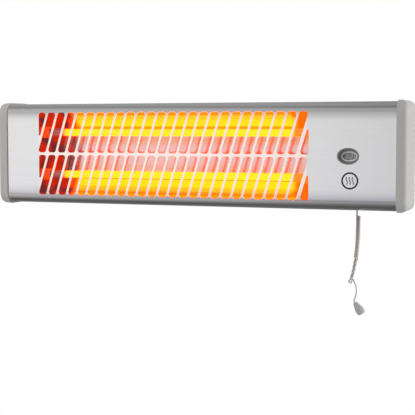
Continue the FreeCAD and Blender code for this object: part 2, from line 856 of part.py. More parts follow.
def make_reflector():
    """Flat back with a parabolic wing above and below, each focused on its tube."""
    focus = size("reflector_focus")
    sheet = size("reflector_sheet")
    rise = size("tube_rise")
    vertex_y = size(TUBE_Y) + focus
    half_length = "(tube_length / 2 + groove_from_tube - carrier_sheet / 2 - fit_gap)"
    upright = Vector(0, 0, 1)

    def on_parabola(share):
        height = size("reflector_reach") * share
        spot = Vector(0, vertex_y - height ** 2 / (4 * focus), rise + height)
        return spot, Vector(0, -height / (2 * focus), 1).normalize()

    def behind(spot, way, next_way):
        normals = [Vector(0, step.z, -step.y) for step in (way, next_way)]
        return spot + (normals[0] + normals[1]) * (sheet / (1 + normals[0].dot(normals[1])))

    def mirrored(steps):
        return [(Vector(0, spot.y, -spot.z), Vector(0, -way.y, way.z)) for spot, way in reversed(steps)]

    wing = [on_parabola(share) for share in (0, 0.3, 0.6, 1)]
    flange = Vector(0, 0, size("reflector_flange"))
    tip, tip_way = wing[-1]
    back_wing = [(behind(spot, way, way), way) for spot, way in wing[:-1]]
    back_wing.append((behind(tip, tip_way, upright), tip_way))
    edges = []
    for steps in (wing, mirrored(wing), back_wing, mirrored(back_wing)):
        for (start, start_way), (end, end_way) in zip(steps, steps[1:]):
            edges += [curve.toShape() for curve in biarc(start, start_way, end, end_way)]
    for steps in (wing, back_wing):
        edges.append(Part.makeLine(mirrored(steps)[-1][0], steps[0][0]))
    for sign in (1, -1):
        corners = [tip, tip + flange, behind(tip + flange, upright, upright), back_wing[-1][0]]
        corners = [Vector(0, spot.y, sign * spot.z) for spot in corners]
        corners[2].z = corners[1].z
        edges += [Part.makeLine(start, end) for start, end in zip(corners, corners[1:])]
    section = Part.Face(Part.Wire(Part.__sortEdges__(edges)))
    reflector = doc.addObject("Part::Feature", "reflector")
    reflector.Shape = section.extrude(Vector(2 * size(half_length), 0, 0))
    reflector.Placement.Base = Vector(size(f"tube_shift - {half_length}"), 0, 0)
    node("reflector", reflector)


# Pull switch, indicator drum and oval window

def make_pull_switch():
    left, right = "(switch_x - switch_width / 2)", "(switch_x + switch_width / 2)"
    body = block((left, right), (SWITCH_FRONT, PLATE_IN), ("-switch_height / 2", "switch_height / 2"))
    cheeks = []
    inner = "(drum_width / 2 + drum_side_gap)"
    for low, high in ((f"-{inner} - cheek_sheet", f"-{inner}"), (inner, f"{inner} + cheek_sheet")):
        cheeks.append(block((f"(window_x + {low})", f"(window_x + {high})"),
                            (f"({FRONT} + cheek_front)", SWITCH_FRONT),
                            ("-cheek_height / 2", "cheek_height / 2")))
    shaft_hole = rod("x", f"{left}", "switch_width", "shaft_radius + fit_gap / 2", y=DRUM_Y)
    rod_hole = rod("z", "-switch_height / 2 - fit_gap", "rod_in + fit_gap * 2", "rod_radius + fit_gap / 2",
                   x="switch_x", y=ROD_Y)
    screws = [
        rod("y", f"{PLATE_IN} - switch_screw_length", "switch_screw_length + fit_gap", "screw_radius",
            x=f"switch_x {side} switch_screw_x") for side in "-+"
    ]
    node("switch_housing", cut(fuse(body, *cheeks), shaft_hole, rod_hole, *screws))

    drum = new_body("indicator_drum")
    hexagon = sketch(drum, "YZ_Plane", "window_x - drum_width / 2")
    side = "drum_flat / cos(30 deg)"
    outline(hexagon, [
        (f"{DRUM_Y} + {side} * cos({60 * step + 30} deg)", f"{side} * sin({60 * step + 30} deg)",
         "drum_flat * 0.12") for step in range(6)
    ])
    circle(hexagon, DRUM_Y, "0", "shaft_radius")
    pad(drum, hexagon, "drum_width")
    node("indicator_drum", drum)
    length = "(drum_width + 2 * (drum_side_gap + cheek_sheet + shaft_overhang))"
    node("drum_shaft", rod("x", f"window_x - {length} / 2", length, "shaft_radius", y=DRUM_Y))

    bottom = "(-switch_height / 2 - rod_out)"
    pull = turned_part("pull_rod", chamfered([
        ("0", f"{bottom} - ferrule_length + ferrule_grip"),
        ("cord_radius", f"{bottom} - ferrule_length + ferrule_grip"),
        ("cord_radius", f"{bottom} - ferrule_length"),
        ("ferrule_radius", f"{bottom} - ferrule_length", "ferrule_radius * 0.3"),
        ("ferrule_radius", bottom, "ferrule_radius * 0.3"),
        ("rod_radius", bottom),
        ("rod_radius", "-switch_height / 2 + rod_in - fit_gap"),
        ("0", "-switch_height / 2 + rod_in - fit_gap"),
    ]), axis="V_Axis")
    place(pull, "switch_x", ROD_Y)
    node("pull_rod", pull)


def make_window():
    wall = "(window_half_width - fit_gap)", "(window_half_height - fit_gap)"
    flange = "(window_half_width + bezel_flange)", "(window_half_height + bezel_flange)"
    lens = "(lens_half_width + lens_ledge)", "(lens_half_height + lens_ledge)"
    barrel = oval_plate(*wall, f"{FRONT} - bezel_proud", f"{BEZEL_BACK} - {FRONT} + bezel_proud")
    skirt = oval_plate(*flange, f"{FRONT} + case_sheet", "bezel_flange_sheet")
    funnel = doc.addObject("Part::Loft", "funnel")
    mouth = oval(f"{wall[0]} - bezel_wall", f"{wall[1]} - bezel_wall", f"{FRONT} - bezel_proud")
    funnel.Sections = [mouth, oval("lens_half_width", "lens_half_height", f"{FRONT} + lens_depth")]
    funnel.Solid = True
    seat = oval_plate(*lens, f"{FRONT} + lens_depth", "lens_sheet + fit_gap * 2")
    node("window_bezel", cut(fuse(barrel, skirt), funnel, seat))
    node("window_lens", oval_plate(f"{lens[0]} - fit_gap", f"{lens[1]} - fit_gap",
                                   f"{FRONT} + lens_depth", "lens_sheet"))


# Feed: cable gland, terminal block and thermal cut-out

def make_feed():
    gland = turned_part("cable_gland", chamfered([
        ("gland_bore", "-stand_off + gland_flange_sheet"),
        ("gland_bore", f"{PLATE_IN} - gland_tail"),
        ("gland_radius", f"{PLATE_IN} - gland_tail", "gland_flange_sheet * 0.4"),
        ("gland_radius", "-stand_off"),
        ("gland_flange", "-stand_off"),
        ("gland_flange", "-stand_off + gland_flange_sheet", "gland_flange_sheet * 0.4"),
    ]), axis="V_Axis", plane="XY_Plane")
    place(gland, "gland_x", "0", "-gland_drop")
    node("cable_gland", gland)

    body = new_body("terminal_block")
    front = f"({PLATE_IN} - block_depth)"
    face = sketch(body, "XZ_Plane", f"-{PLATE_IN}")
    rectangle(face, ("block_x - block_width / 2", "block_x + block_width / 2"),
              ("-block_drop - block_height / 2", "-block_drop + block_height / 2"), "block_width * 0.06")
    pad(body, face, "block_depth")
    wells = sketch(body, "XZ_Plane", f"-{front}")
    for step in (-1, 0, 1):
        circle(wells, f"block_x + block_width / 4", f"-block_drop + {step} * well_pitch", "well_radius")
    pocket(body, wells, "well_depth")
    node("terminal_block", body)

    face_x = f"({carrier_plane('')} + carrier_sheet / 2)"
    middle_y = f"({FRONT} + cutout_depth)"
    disc = rod("x", face_x, "cutout_thick", "cutout_radius", y=middle_y)
    rim = rod("x", face_x, "cutout_flange_sheet", "cutout_flange", y=middle_y)
    tabs = [
        block((f"{face_x} + cutout_thick", f"{face_x} + cutout_thick + tab_reach"),
              (f"{middle_y} - tab_width / 2", f"{middle_y} + tab_width / 2"),
              (f"{rise}tab_rise - tab_sheet / 2", f"{rise}tab_rise + tab_sheet / 2")) for rise in ("-", "")
    ]
    node("thermal_cutout", fuse(disc, rim, *tabs))


def make_leads():
    """Insulated leads between the pins, the switch, the cut-out and the terminal block."""
    radius = size("lead_radius")
    bend = size("lead_bend")
    pin_x = size(f"{tube_end('')} + ceramic_tail + pin_reach")
    tube_y = size(TUBE_Y)
    rise = size("tube_rise")
    rod_y = size(ROD_Y)
    switch_left = size("switch_x - switch_width / 2")
    switch_top = size("switch_height / 2")
    entry_x = switch_left + 1.2 * bend
    for word, sign in (("upper", 1), ("lower", -1)):
        tube_node("lead_live_" + word, [
            Vector(pin_x, tube_y, sign * rise),
            Vector(pin_x + 0.9 * bend, tube_y, sign * (rise + 0.1 * bend)),
            Vector(pin_x + 1.9 * bend, tube_y + 0.7 * bend, sign * (rise + 0.8 * bend)),
            Vector(entry_x, rod_y - 0.4 * bend, sign * (rise + 0.9 * bend)),
            Vector(entry_x, rod_y, sign * (switch_top + 0.8 * bend)),
            Vector(entry_x, rod_y, sign * switch_top),
        ], radius)

    tab_end = f"({carrier_plane('')} + carrier_sheet / 2 + cutout_thick + tab_reach)"
    tab_x = size(tab_end)
    tab_y = size(f"{FRONT} + cutout_depth")
    tab_z = size("tab_rise")
    link = rod("x", tab_end, f"switch_x - switch_width / 2 - {tab_end}", "lead_radius",
               y=f"{FRONT} + cutout_depth", z="tab_rise")
    node("lead_cutout", link)

    block_left = size("block_x - block_width / 2")
    block_y = size(f"{PLATE_IN} - block_depth / 2")
    block_z = -size("block_drop")
    well = size("well_pitch")
    behind_rod = size(PLATE_IN) - 3 * radius
    under_switch = -switch_top
    tube_node("lead_feed", [
        Vector(tab_x, tab_y, -tab_z),
        Vector(tab_x + 0.4 * bend, tab_y, -tab_z - 0.2 * bend),
        Vector(tab_x + 0.5 * bend, tab_y + 0.3 * bend, under_switch + 0.3 * bend),
        Vector(switch_left + 0.1 * bend, tab_y + 0.8 * bend, under_switch - 0.6 * bend),
        Vector(switch_left + 1.1 * bend, behind_rod, under_switch - 0.9 * bend),
        Vector(switch_left + 2.7 * bend, behind_rod, under_switch - 0.8 * bend),
        Vector(block_left - 0.8 * bend, block_y, under_switch - 0.36 * bend),
        Vector(block_left, block_y, block_z + 0.3 * well),
    ], radius)

    strip_x = size(f"{tube_end('-')} - ceramic_tail - pin_reach + strip_inset")
    carrier_left = size(carrier_plane("-"))
    carrier_right = size(carrier_plane(""))
    hole_y = size(LEAD_Y)
    hole_z = -size("wire_hole_drop")
    tube_node("lead_neutral", [
        Vector(strip_x, tube_y, hole_z),
        Vector(strip_x - 0.7 * bend, tube_y + 0.1 * bend, hole_z),
        Vector(strip_x - 1.2 * bend, tube_y + 0.9 * bend, hole_z),
        Vector(strip_x - 0.9 * bend, hole_y - 0.3 * bend, hole_z),
        Vector(carrier_left - 0.4 * bend, hole_y, hole_z),
        Vector(carrier_right + 0.9 * bend, hole_y, hole_z),
        Vector(switch_left - 0.6 * bend, hole_y + 0.2 * bend, hole_z - 1.2 * bend),
        Vector(switch_left + 0.5 * bend, behind_rod, under_switch - 1.6 * bend),
        Vector(switch_left + 2.2 * bend, behind_rod, under_switch - 1.8 * bend),
        Vector(block_left - 0.9 * bend, block_y - 0.1 * bend, block_z - well),
        Vector(block_left, block_y, block_z - well),
    ], radius)


# Pull cord: bush, drop, wound hank with its twist and ring, tail and knob

def make_cord_bush():
    bush = turned_part("cord_bush", chamfered([
        ("hole_in_bush", BUSH_MOUTH),
        ("bush_flange", BUSH_MOUTH, "bush_flange_sheet * 0.4"),
        ("bush_flange", "-case_height / 2"),
        ("bush_radius", "-case_height / 2"),
        ("bush_radius", "-case_height / 2 + bush_tail"),
        ("hole_in_bush", "-case_height / 2 + bush_tail"),
    ]), axis="V_Axis")
    place(bush, "switch_x", ROD_Y)
    node("cord_bush", bush)


def hank_waypoints():
    """Points and directions of the wound cord, about its own axis, downwards from its first turn."""
    turns = size("hank_turns")
    pitch = size("hank_pitch")
    wound = size("hank_radius")
    bend = size("hank_bend")
    straight = 2 * size("cord_radius")
    twist_radius = size("twist_radius")
    twist_length = size("twist_length")
    twist_turn = math.radians(size("twist_turn"))
    arch = size("arch_radius")
    offset = size("arch_offset")
    ring = size("ring_radius")
    ring_drop = size("ring_drop")
    down, up = Vector(0, 0, -1), Vector(0, 0, 1)

    def radial(angle):
        return Vector(math.cos(angle), math.sin(angle), 0)

    def sideways(angle):
        return Vector(-math.sin(angle), math.cos(angle), 0)

    first, last = math.pi, math.pi * (1 + 2 * turns)
    bottom = -pitch * turns
    entry = radial(first) * wound - sideways(first) * bend
    way_out = radial(last) * wound + sideways(last) * bend
    way = [(entry + up * (bend + straight), down), (entry + up * bend, down)]
    slope = pitch / (2 * math.pi * wound)
    steps = math.ceil(2 * turns)
    for step in range(steps + 1):
        angle = first + (last - first) * step / steps
        spot = radial(angle) * wound + up * (bottom * step / steps)
        way.append((spot, (sideways(angle) + down * slope).normalize()))
    way.append((way_out + up * (bottom - bend), down))

    # three strands twist round each other below the turns: down to the ring, up to the arch, down
    spring = bottom - size("arch_clear")
    first_angle = math.atan2(way_out.y, way_out.x)
    back_way, aside = radial(first_angle + math.pi), sideways(first_angle + math.pi)
    tops = {
        "down": way_out + up * spring,
        "up": back_way * offset + aside * arch + up * spring,
        "out": back_way * offset - aside * arch + up * spring,
    }
    third = 2 * math.pi / 3
    turned = {"down": first_angle, "up": first_angle + 2 * third, "out": first_angle + third}

    def eased(share, soft=0.2):
        """From 0 to 1 at a steady rate, with a soft start and a soft end."""
        if share < soft:
            return share ** 2 / (2 * soft * (1 - soft))
        if share > 1 - soft:
            return 1 - (1 - share) ** 2 / (2 * soft * (1 - soft))
        return (share - soft / 2) / (1 - soft)

    def strand(name, count=7):
        top = tops[name]
        start_radius, start_angle = math.hypot(top.x, top.y), math.atan2(top.y, top.x)
        lag = (start_angle - turned[name] + math.pi) % (2 * math.pi) - math.pi

        def spot(share):
            ease = min(1, share / 0.3)
            ease = ease * ease * (3 - 2 * ease)
            radius = start_radius + (twist_radius - start_radius) * ease
            angle = turned[name] + lag * (1 - ease) + twist_turn * eased(share)
            return radial(angle) * radius + up * (spring - twist_length * share)

        points = []
        for step in range(count + 1):
            share = step / count
            if step in (0, count):
                points.append((spot(share), down))
            else:
                points.append((spot(share), (spot(share + 0.005) - spot(share - 0.005)).normalize()))
        return points

    def reversed_way(points):
        return [(spot, direction * -1) for spot, direction in reversed(points)]

    way += strand("down")
    ring_start, ring_end = strand("down")[-1][0], strand("up")[-1][0]
    middle = (ring_start + ring_end) * 0.5
    across = (ring_end - ring_start).normalize()
    low = middle + down * ring_drop
    way.append((low - across * ring, down))
    way.append((low + down * ring, across))
    way.append((low + across * ring, up))
    way += reversed_way(strand("up"))
    peak = (tops["up"] + tops["out"]) * 0.5 + up * arch
    way.append((peak, (tops["out"] - tops["up"]).normalize()))
    way += strand("out")
    way.append((way[-1][0] + down * straight, down))
    return way


def make_hanging_cord():
    cord = size("cord_radius")
    exit_spot = Vector(size("switch_x"), size(ROD_Y), size(BUSH_MOUTH))
    hinge = exit_spot - Vector(0, 0, size("hang_drop"))
    way = hank_waypoints()
    hank_top = hinge - Vector(0, 0, size("hank_drop"))
    axis = hank_top - way[0][0]
    full_drop = way[0][0].z - way[-1][0].z
    drift = size("hank_drift")
    ring_share = 1 + (size("ring_drop") - 2 * cord) / full_drop

    def hung(spot, direction):
        """The hank's own axis drifts sideways the lower it gets, down to its ring, which hangs square."""
        share = (way[0][0].z - spot.z) / full_drop
        slope = -3 * drift * share ** 2 / full_drop
        if share > ring_share - 1e-6:
            share, slope = ring_share, 0
        aside = Vector(-drift * share ** 3, 0, 0)
        leaning = Vector(direction.x - slope * direction.z, direction.y, direction.z)
        return axis + spot + aside, leaning.normalize()

    hung_way = [hung(*step) for step in way]
    last_bend = hung_way[-2][0]
    straight_down = Vector(0, 0, -1)
    hung_way[-2:] = [(last_bend, straight_down), (last_bend + straight_down * 2 * cord, straight_down)]
    curves = []
    for (start, start_way), (end, end_way) in zip(hung_way, hung_way[1:]):
        curves += biarc(start, start_way, end, end_way)
    hank = doc.addObject("Part::Feature", "cord_hank")
    hank.Shape = swept_tube(curves, cord, sides=6)
    node("cord_hank", hank)
    sharpest = max(curve.curvature(curve.FirstParameter) for curve in curves)
    print("cord_hank tightest bend radius", f"{1 / sharpest:.2f}")
    print("cord_hank least gap to itself", f"{least_gap(curves, cord):.2f}")
    print("cord_hank length", f"{sum(curve.length() for curve in curves):.0f}")

    # the drop from the bush to the hank, rounded where it swings in the bush's mouth
    ball = doc.addObject("Part::Sphere", "ball")
    bind(ball, Radius="cord_radius")
    place(ball, "switch_x", ROD_Y, f"{BUSH_MOUTH} - hang_drop")
    strand = rod("z", f"{BUSH_MOUTH} - hang_drop - hank_drop", "hank_drop", "cord_radius",
                 x="switch_x", y=ROD_Y)
    node("cord_drop", fuse(ball, strand))
    lead_top = "(-switch_height / 2 - rod_out - ferrule_length + ferrule_grip)"
    lead_end = f"({BUSH_MOUTH} - hang_drop + cord_radius + lead_gap)"
    node("cord_lead", rod("z", lead_end, f"{lead_top} - {lead_end}", "cord_radius", x="switch_x", y=ROD_Y))

    # the free tail, by eye from the photograph, and the knob on its end
    start = hung_way[-1][0]
    tail = [start + Vector(x, 0, z) for x, z in (
        (0, 0), (0, -2.4), (2.4, -6.2), (4.2, -11.5), (4.7, -17.5), (3.6, -23.5), (1.9, -28), (1.3, -30.2),
    )]
    lean = math.radians(size("knob_lean"))
    knob_way = Vector(math.sin(lean), 0, -math.cos(lean))
    tail.append(tail[-1] + knob_way * 2.2)
    tube_node("cord_tail", tail, cord)
    knob = turned_part("pull_knob", [
        ("0", "0"),
        ("knob_neck", "0", "knob_neck * 0.3"),
        ("knob_wide", "-knob_length * 0.72", "knob_wide * 0.5"),
        ("knob_wide * 0.86", "-knob_length", "knob_wide * 0.55"),
        ("0", "-knob_length"),
    ], axis="V_Axis")
    knob.Placement.Rotation = Rotation(Vector(0, 1, 0), -size("knob_lean"))
    knob.Placement.Base = tail[-1]
    node("pull_knob", knob)


def least_gap(curves, radius):
    """The least clear distance between stretches of the tube that are not neighbours along it."""
    spots = []
    gone = 0
    for curve in curves:
        length = curve.length()
        count = max(2, int(length / 0.4))
        span = curve.LastParameter - curve.FirstParameter
        for step in range(count):
            spot = curve.value(curve.FirstParameter + span * step / count)
            spots.append((gone + length * step / count, spot))
        gone += length
    apart = 8 * radius
    least = gone
    for index, (along, spot) in enumerate(spots):
        for other_along, other in spots[index + 1:]:
            if other_along - along > apart:
                least = min(least, spot.distanceToPoint(other))
    return least - 2 * radius


# Wall bracket, hinge ears and the tilt pivot

EAR_FOOT_X = "(arm_x - washer_sheet - ear_sheet - ear_foot / 2)"


def make_wall_bracket():
    body = new_body("wall_bracket")
    profile = sketch(body, "XY_Plane", "-strip_height / 2")
    outer, inner = "(arm_x + bracket_sheet)", "arm_x"
    arm_tip = "(-pivot_out - arm_end)"
    outline(profile, [
        (f"-{outer}", arm_tip), (f"-{inner}", arm_tip),
        (f"-{inner}", "-bracket_sheet", "bracket_bend"), (inner, "-bracket_sheet", "bracket_bend"),
        (inner, arm_tip), (outer, arm_tip),
        (outer, "0", "bracket_bend + bracket_sheet"), (f"-{outer}", "0", "bracket_bend + bracket_sheet"),
    ])
    strip = pad(body, profile, "strip_height")
    tip_y = size(arm_tip)

    def at_arm_tip(edge):
        ends = edge.Vertexes
        level = len(ends) == 2 and abs(ends[0].Z - ends[1].Z) < 1e-6
        return level and all(abs(end.Y - tip_y) < 1e-6 for end in ends)

    fillet(body, strip, "arm_end", at_arm_tip)
    pivot = sketch(body, "YZ_Plane", f"-{outer} * 2")
    circle(pivot, "-pivot_out", "0", "bolt_radius + fit_gap")
    pocket(body, pivot, f"{outer} * 4", backwards=True)
    wall = sketch(body, "XZ_Plane", "-bracket_sheet")
    for side in ("-", ""):
        circle(wall, f"{side}wall_hole_x", "0", "wall_hole_radius")
    pocket(body, wall, "bracket_sheet * 4", backwards=True)
    node("wall_bracket", body)


def make_hinge_ear(word, side):
    body = new_body("hinge_ear_" + word)
    inward = side == ""
    outer_x = f"{side}(arm_x - washer_sheet)"
    plate = sketch(body, "YZ_Plane", outer_x)
    half = "ear_radius"
    tip = "(-pivot_out + ear_radius)"
    outline(plate, [
        ("-stand_off", f"-{half}"), (tip, f"-{half}", f"{half} * 0.98"), (tip, half, f"{half} * 0.98"),
        ("-stand_off", half),
    ])
    pad(body, plate, "ear_sheet", backwards=inward)
    foot = sketch(body, "YZ_Plane", outer_x)
    rectangle(foot, ("-stand_off", "-stand_off + ear_sheet"), (f"-{half}", half))
    pad(body, foot, "ear_sheet + ear_foot", backwards=inward)
    pivot = sketch(body, "YZ_Plane", outer_x)
    circle(pivot, "-pivot_out", "0", "bolt_radius + fit_gap")
    pocket(body, pivot, "ear_sheet", backwards=not inward)
    rivets = sketch(body, "XZ_Plane", "stand_off")
    for rise in ("-", ""):
        circle(rivets, f"{side}{EAR_FOOT_X}", f"{rise}rivet_rise", "rivet_radius + fit_gap")
    pocket(body, rivets, "ear_sheet * 2")
    node("hinge_ear_" + word, body)


def make_pivots():
    bolts, nuts, washers = [], [], []
    for side in ("-", ""):
        at = {"y": "-pivot_out"}

        def span(low, high):
            return (f"-({high})" if side else low), f"({high}) - ({low})"

        def piece(low, high, radius):
            start, length = span(low, high)
            return rod("x", start, length, radius, **at)

        head_in = "arm_x + bracket_sheet"
        nut_out = "arm_x - washer_sheet - ear_sheet - fit_gap"
        nut_in = f"{nut_out} - nut_thick"
        head = piece(head_in, f"{head_in} + bolt_head_thick", "bolt_head")
        shank = piece(f"{nut_in} - fit_gap * 10", head_in, "bolt_radius")
        bolts.append(fuse(head, shank))
        hole = piece(f"{nut_in} - 1", f"{nut_out} + 1", "bolt_radius")
        nuts.append(cut(piece(nut_in, nut_out, "nut_radius"), hole))
        ring = piece("arm_x - washer_sheet + fit_gap", "arm_x", "washer_radius")
        washers.append(cut(ring, piece("arm_x - washer_sheet * 2", "arm_x + washer_sheet",
                                       "bolt_radius + fit_gap")))
    node("pivot_bolts", group(*bolts))
    node("pivot_nuts", group(*nuts))
    node("pivot_washers", group(*washers))


# Screws and rivets

def back_screw(x, z, length):
    head = rod("y", "-stand_off", "screw_head_thick", "screw_head", x=x, z=z)
    shank = rod("y", f"-stand_off - {length}", length, "screw_radius", x=x, z=z)
    return fuse(head, shank)


def make_fasteners():
    signs = ("-", "")
    node("cap_screws", group(*[
        back_screw(f"{end}cap_screw_x", f"{rise}cap_screw_rise", "cap_screw_length")
        for end in signs for rise in signs]))
    node("carrier_screws", group(*[
        back_screw(carrier_screw_x(end), f"{rise}carrier_screw_rise", "carrier_screw_length")
        for end in signs for rise in signs]))
    node("switch_screws", group(*[
        back_screw(f"switch_x {end} switch_screw_x", "0", "switch_screw_length") for end in "-+"]))
    rivets = []
    for end in signs:
        for rise in signs:
            at = {"x": f"{end}{EAR_FOOT_X}", "z": f"{rise}rivet_rise"}
            dome = rod("y", "-stand_off + ear_sheet", "rivet_head_thick", "rivet_head", **at)
            shank = rod("y", f"{PLATE_IN}", "plate_sheet + ear_sheet", "rivet_radius", **at)
            foot = rod("y", f"{PLATE_IN} - rivet_head_thick", "rivet_head_thick", "rivet_head", **at)
            rivets.append(fuse(dome, shank, foot))
    node("ear_rivets", group(*rivets))


make_front_casing()
make_back_plate()
make_end_cap("end_cap_left", "-")
make_end_cap("end_cap_right", "")
make_tube_set("upper", "")
make_tube_set("lower", "-")
make_terminal_pins()
make_neutral_strip()
make_tube_carrier("left", "-")
make_tube_carrier("right", "")
make_reflector()
make_pull_switch()
make_window()
make_feed()
make_leads()
make_cord_bush()
make_hanging_cord()
make_wall_bracket()
make_hinge_ear("left", "-")
make_hinge_ear("right", "")
make_pivots()
make_fasteners()

doc.recompute()
for thing in doc.Objects:
    if "Invalid" in thing.State or "Error" in thing.State:
        raise ValueError(f"{thing.Name} ({thing.Label}) failed: {thing.State}")
for label, thing in nodes.items():
    if thing.Shape.isNull() or not thing.Shape.isValid() or not thing.Shape.Solids:
        raise ValueError(label + " has no valid solid")

os.makedirs("parts", exist_ok=True)
for label, thing in nodes.items():
    thing.Shape.exportStep(f"parts/{label}.step")
print(len(nodes), "parts written")
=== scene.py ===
import math

import bmesh
import bpy
from mathutils import Matrix, Vector


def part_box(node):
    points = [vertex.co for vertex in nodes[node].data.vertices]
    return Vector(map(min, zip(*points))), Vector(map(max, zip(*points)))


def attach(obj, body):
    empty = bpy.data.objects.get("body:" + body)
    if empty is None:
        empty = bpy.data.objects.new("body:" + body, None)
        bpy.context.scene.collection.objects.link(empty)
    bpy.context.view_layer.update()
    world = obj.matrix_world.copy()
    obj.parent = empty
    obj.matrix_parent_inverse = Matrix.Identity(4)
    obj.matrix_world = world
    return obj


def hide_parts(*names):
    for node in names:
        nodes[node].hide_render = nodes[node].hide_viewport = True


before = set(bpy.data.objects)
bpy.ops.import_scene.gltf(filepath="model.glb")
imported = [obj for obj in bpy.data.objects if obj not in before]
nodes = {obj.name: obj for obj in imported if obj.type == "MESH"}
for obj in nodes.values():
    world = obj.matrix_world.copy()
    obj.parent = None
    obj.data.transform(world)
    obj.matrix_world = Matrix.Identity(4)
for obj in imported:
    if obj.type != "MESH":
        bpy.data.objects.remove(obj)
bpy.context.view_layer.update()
scene = bpy.context.scene
mm = 0.001


# shader and geometry node trees, written as expressions

class Wire:
    # an output socket; arithmetic on it adds Math nodes to its board
    def __init__(self, board, socket):
        self.board = board
        self.socket = socket

    def math(self, operation, first, second=0.0):
        return self.board.node("ShaderNodeMath", {"operation": operation}, {0: first, 1: second})

    def __add__(self, other):
        return self.math("ADD", self, other)

    def __radd__(self, other):
        return self.math("ADD", other, self)

    def __sub__(self, other):
        return self.math("SUBTRACT", self, other)

    def __rsub__(self, other):
        return self.math("SUBTRACT", other, self)

    def __mul__(self, other):
        return self.math("MULTIPLY", self, other)

    def __rmul__(self, other):
        return self.math("MULTIPLY", other, self)

    def __truediv__(self, other):
        return self.math("DIVIDE", self, other)

    def __rtruediv__(self, other):
        return self.math("DIVIDE", other, self)

    def __pow__(self, other):
        return self.math("POWER", self, other)

    def __neg__(self):
        return self.math("MULTIPLY", self, -1.0)

    def __abs__(self):
        return self.math("ABSOLUTE", self)


class Board:
    # one node tree; node() makes every node in it
    def __init__(self, tree):
        self.tree = tree

    def node(self, kind, settings=None, sockets=None, out=0):
        made = self.tree.nodes.new(kind)
        for key, value in (settings or {}).items():
            if key == "stops":
                self.setStops(made.color_ramp, value)
            else:
                setattr(made, key, value)
        for key, value in (sockets or {}).items():
            for item in value if isinstance(value, list) else [value]:
                self.feed(made.inputs[key], item)
        return Wire(self, made.outputs[out]) if made.outputs else made

    def feed(self, socket, value):
        if isinstance(value, Wire):
            self.tree.links.new(value.socket, socket)
        else:
            socket.default_value = value

    def between(self, value, low, high, start=0.0, end=1.0):
        return self.node("ShaderNodeMapRange", {"interpolation_type": "SMOOTHSTEP"}, {
            "Value": value, "From Min": low, "From Max": high, "To Min": start, "To Max": end})

    def within(self, value, start, full, fading, end):
        return self.between(value, start, full) * self.between(value, fading, end, 1.0, 0.0)

    def blend(self, share, first, second):
        tones = [(*tone, 1.0) if isinstance(tone, tuple) else tone for tone in (first, second)]
        return self.node("ShaderNodeMix", {"data_type": "RGBA"}, {0: share, 6: tones[0], 7: tones[1]}, out=2)

    @staticmethod
    def setStops(ramp, stops):
        while len(ramp.elements) < len(stops):
            ramp.elements.new(1.0)
        for element, (spot, tone) in zip(ramp.elements, stops):
            element.position = spot
            element.color = (*tone, 1.0) if isinstance(tone, tuple) else (tone, tone, tone, 1.0)


class Finish(Board):
    # a material with one Principled shader; constants go straight on its sockets
    def __init__(self, name, **constants):
        self.material = bpy.data.materials.new(name)
        self.material.use_nodes = True
        super().__init__(self.material.node_tree)
        self.shader = self.tree.nodes["Principled BSDF"]
        self.set(**constants)

    labels = {"tone": "Base Color", "rough": "Roughness", "metal": "Metallic", "relief": "Normal",
              "glowTone": "Emission Color", "glowPower": "Emission Strength", "clear": "Transmission Weight",
              "index": "IOR", "gloss": "Specular IOR Level"}

    def set(self, **values):
        for key, value in values.items():
            if isinstance(value, tuple):
                value = (*value, 1.0)
            self.feed(self.shader.inputs[self.labels[key]], value)

    def point(self, stretch=(1.0, 1.0, 1.0)):
        place = self.node("ShaderNodeTexCoord", out="Object")
        return self.node("ShaderNodeMapping", None, {"Vector": place, "Scale": stretch})

    def axis(self, letter):
        return self.node("ShaderNodeSeparateXYZ", None, {0: self.point()}, out=letter)

    def noise(self, scale, detail=3.0, stretch=(1.0, 1.0, 1.0), rough=0.5):
        return self.node("ShaderNodeTexNoise", None, {
            "Vector": self.point(stretch), "Scale": scale, "Detail": detail, "Roughness": rough})

    def bump(self, height, strength, distance):
        return self.node("ShaderNodeBump", None, {
            "Height": height, "Strength": strength, "Distance": distance})


def newObject(name, mesh):
    thing = bpy.data.objects.new(name, mesh)
    scene.collection.objects.link(thing)
    return thing


def scaled(tone, share, lift=0.0):
    return tuple(min(1.0, channel * share + lift) for channel in tone)


black = (0.0, 0.0, 0.0)


# rolled steel casing: satin silver lacquer, faint rolling lines along its length, a painted warm glow on the
# grille bars

casingLook = {
    "tone": (0.88, 0.88, 0.88), "dull": (0.82, 0.82, 0.822), "roughness": 0.16,
    "streaks": (2.5, 420.0, 420.0), "streakShare": 0.5, "streakRough": 0.05,
    "specks": 900.0, "speckRough": 0.04, "wash": 6.0, "washShare": 0.3,
    "grain": 0.001 * mm, "streakGrain": 0.7,
    "zinc": (0.42, 0.66, 0.66), "primerMetal": 0.25, "primerRough": 0.35,
    "bendZ": 0.052, "bendY": -0.084, "skin": 0.01255,
    "crownFrom": 0.036, "crownDeep": 0.6 * mm, "crownMost": 1.15,
    "warmTone": (1.0, 0.90, 0.85), "warmGlow": (0.075, 0.036, 0.024),
    "warmX": (-0.2140, -0.2085, 0.1480, 0.1530), "warmZ": (0.0520, 0.0535)}


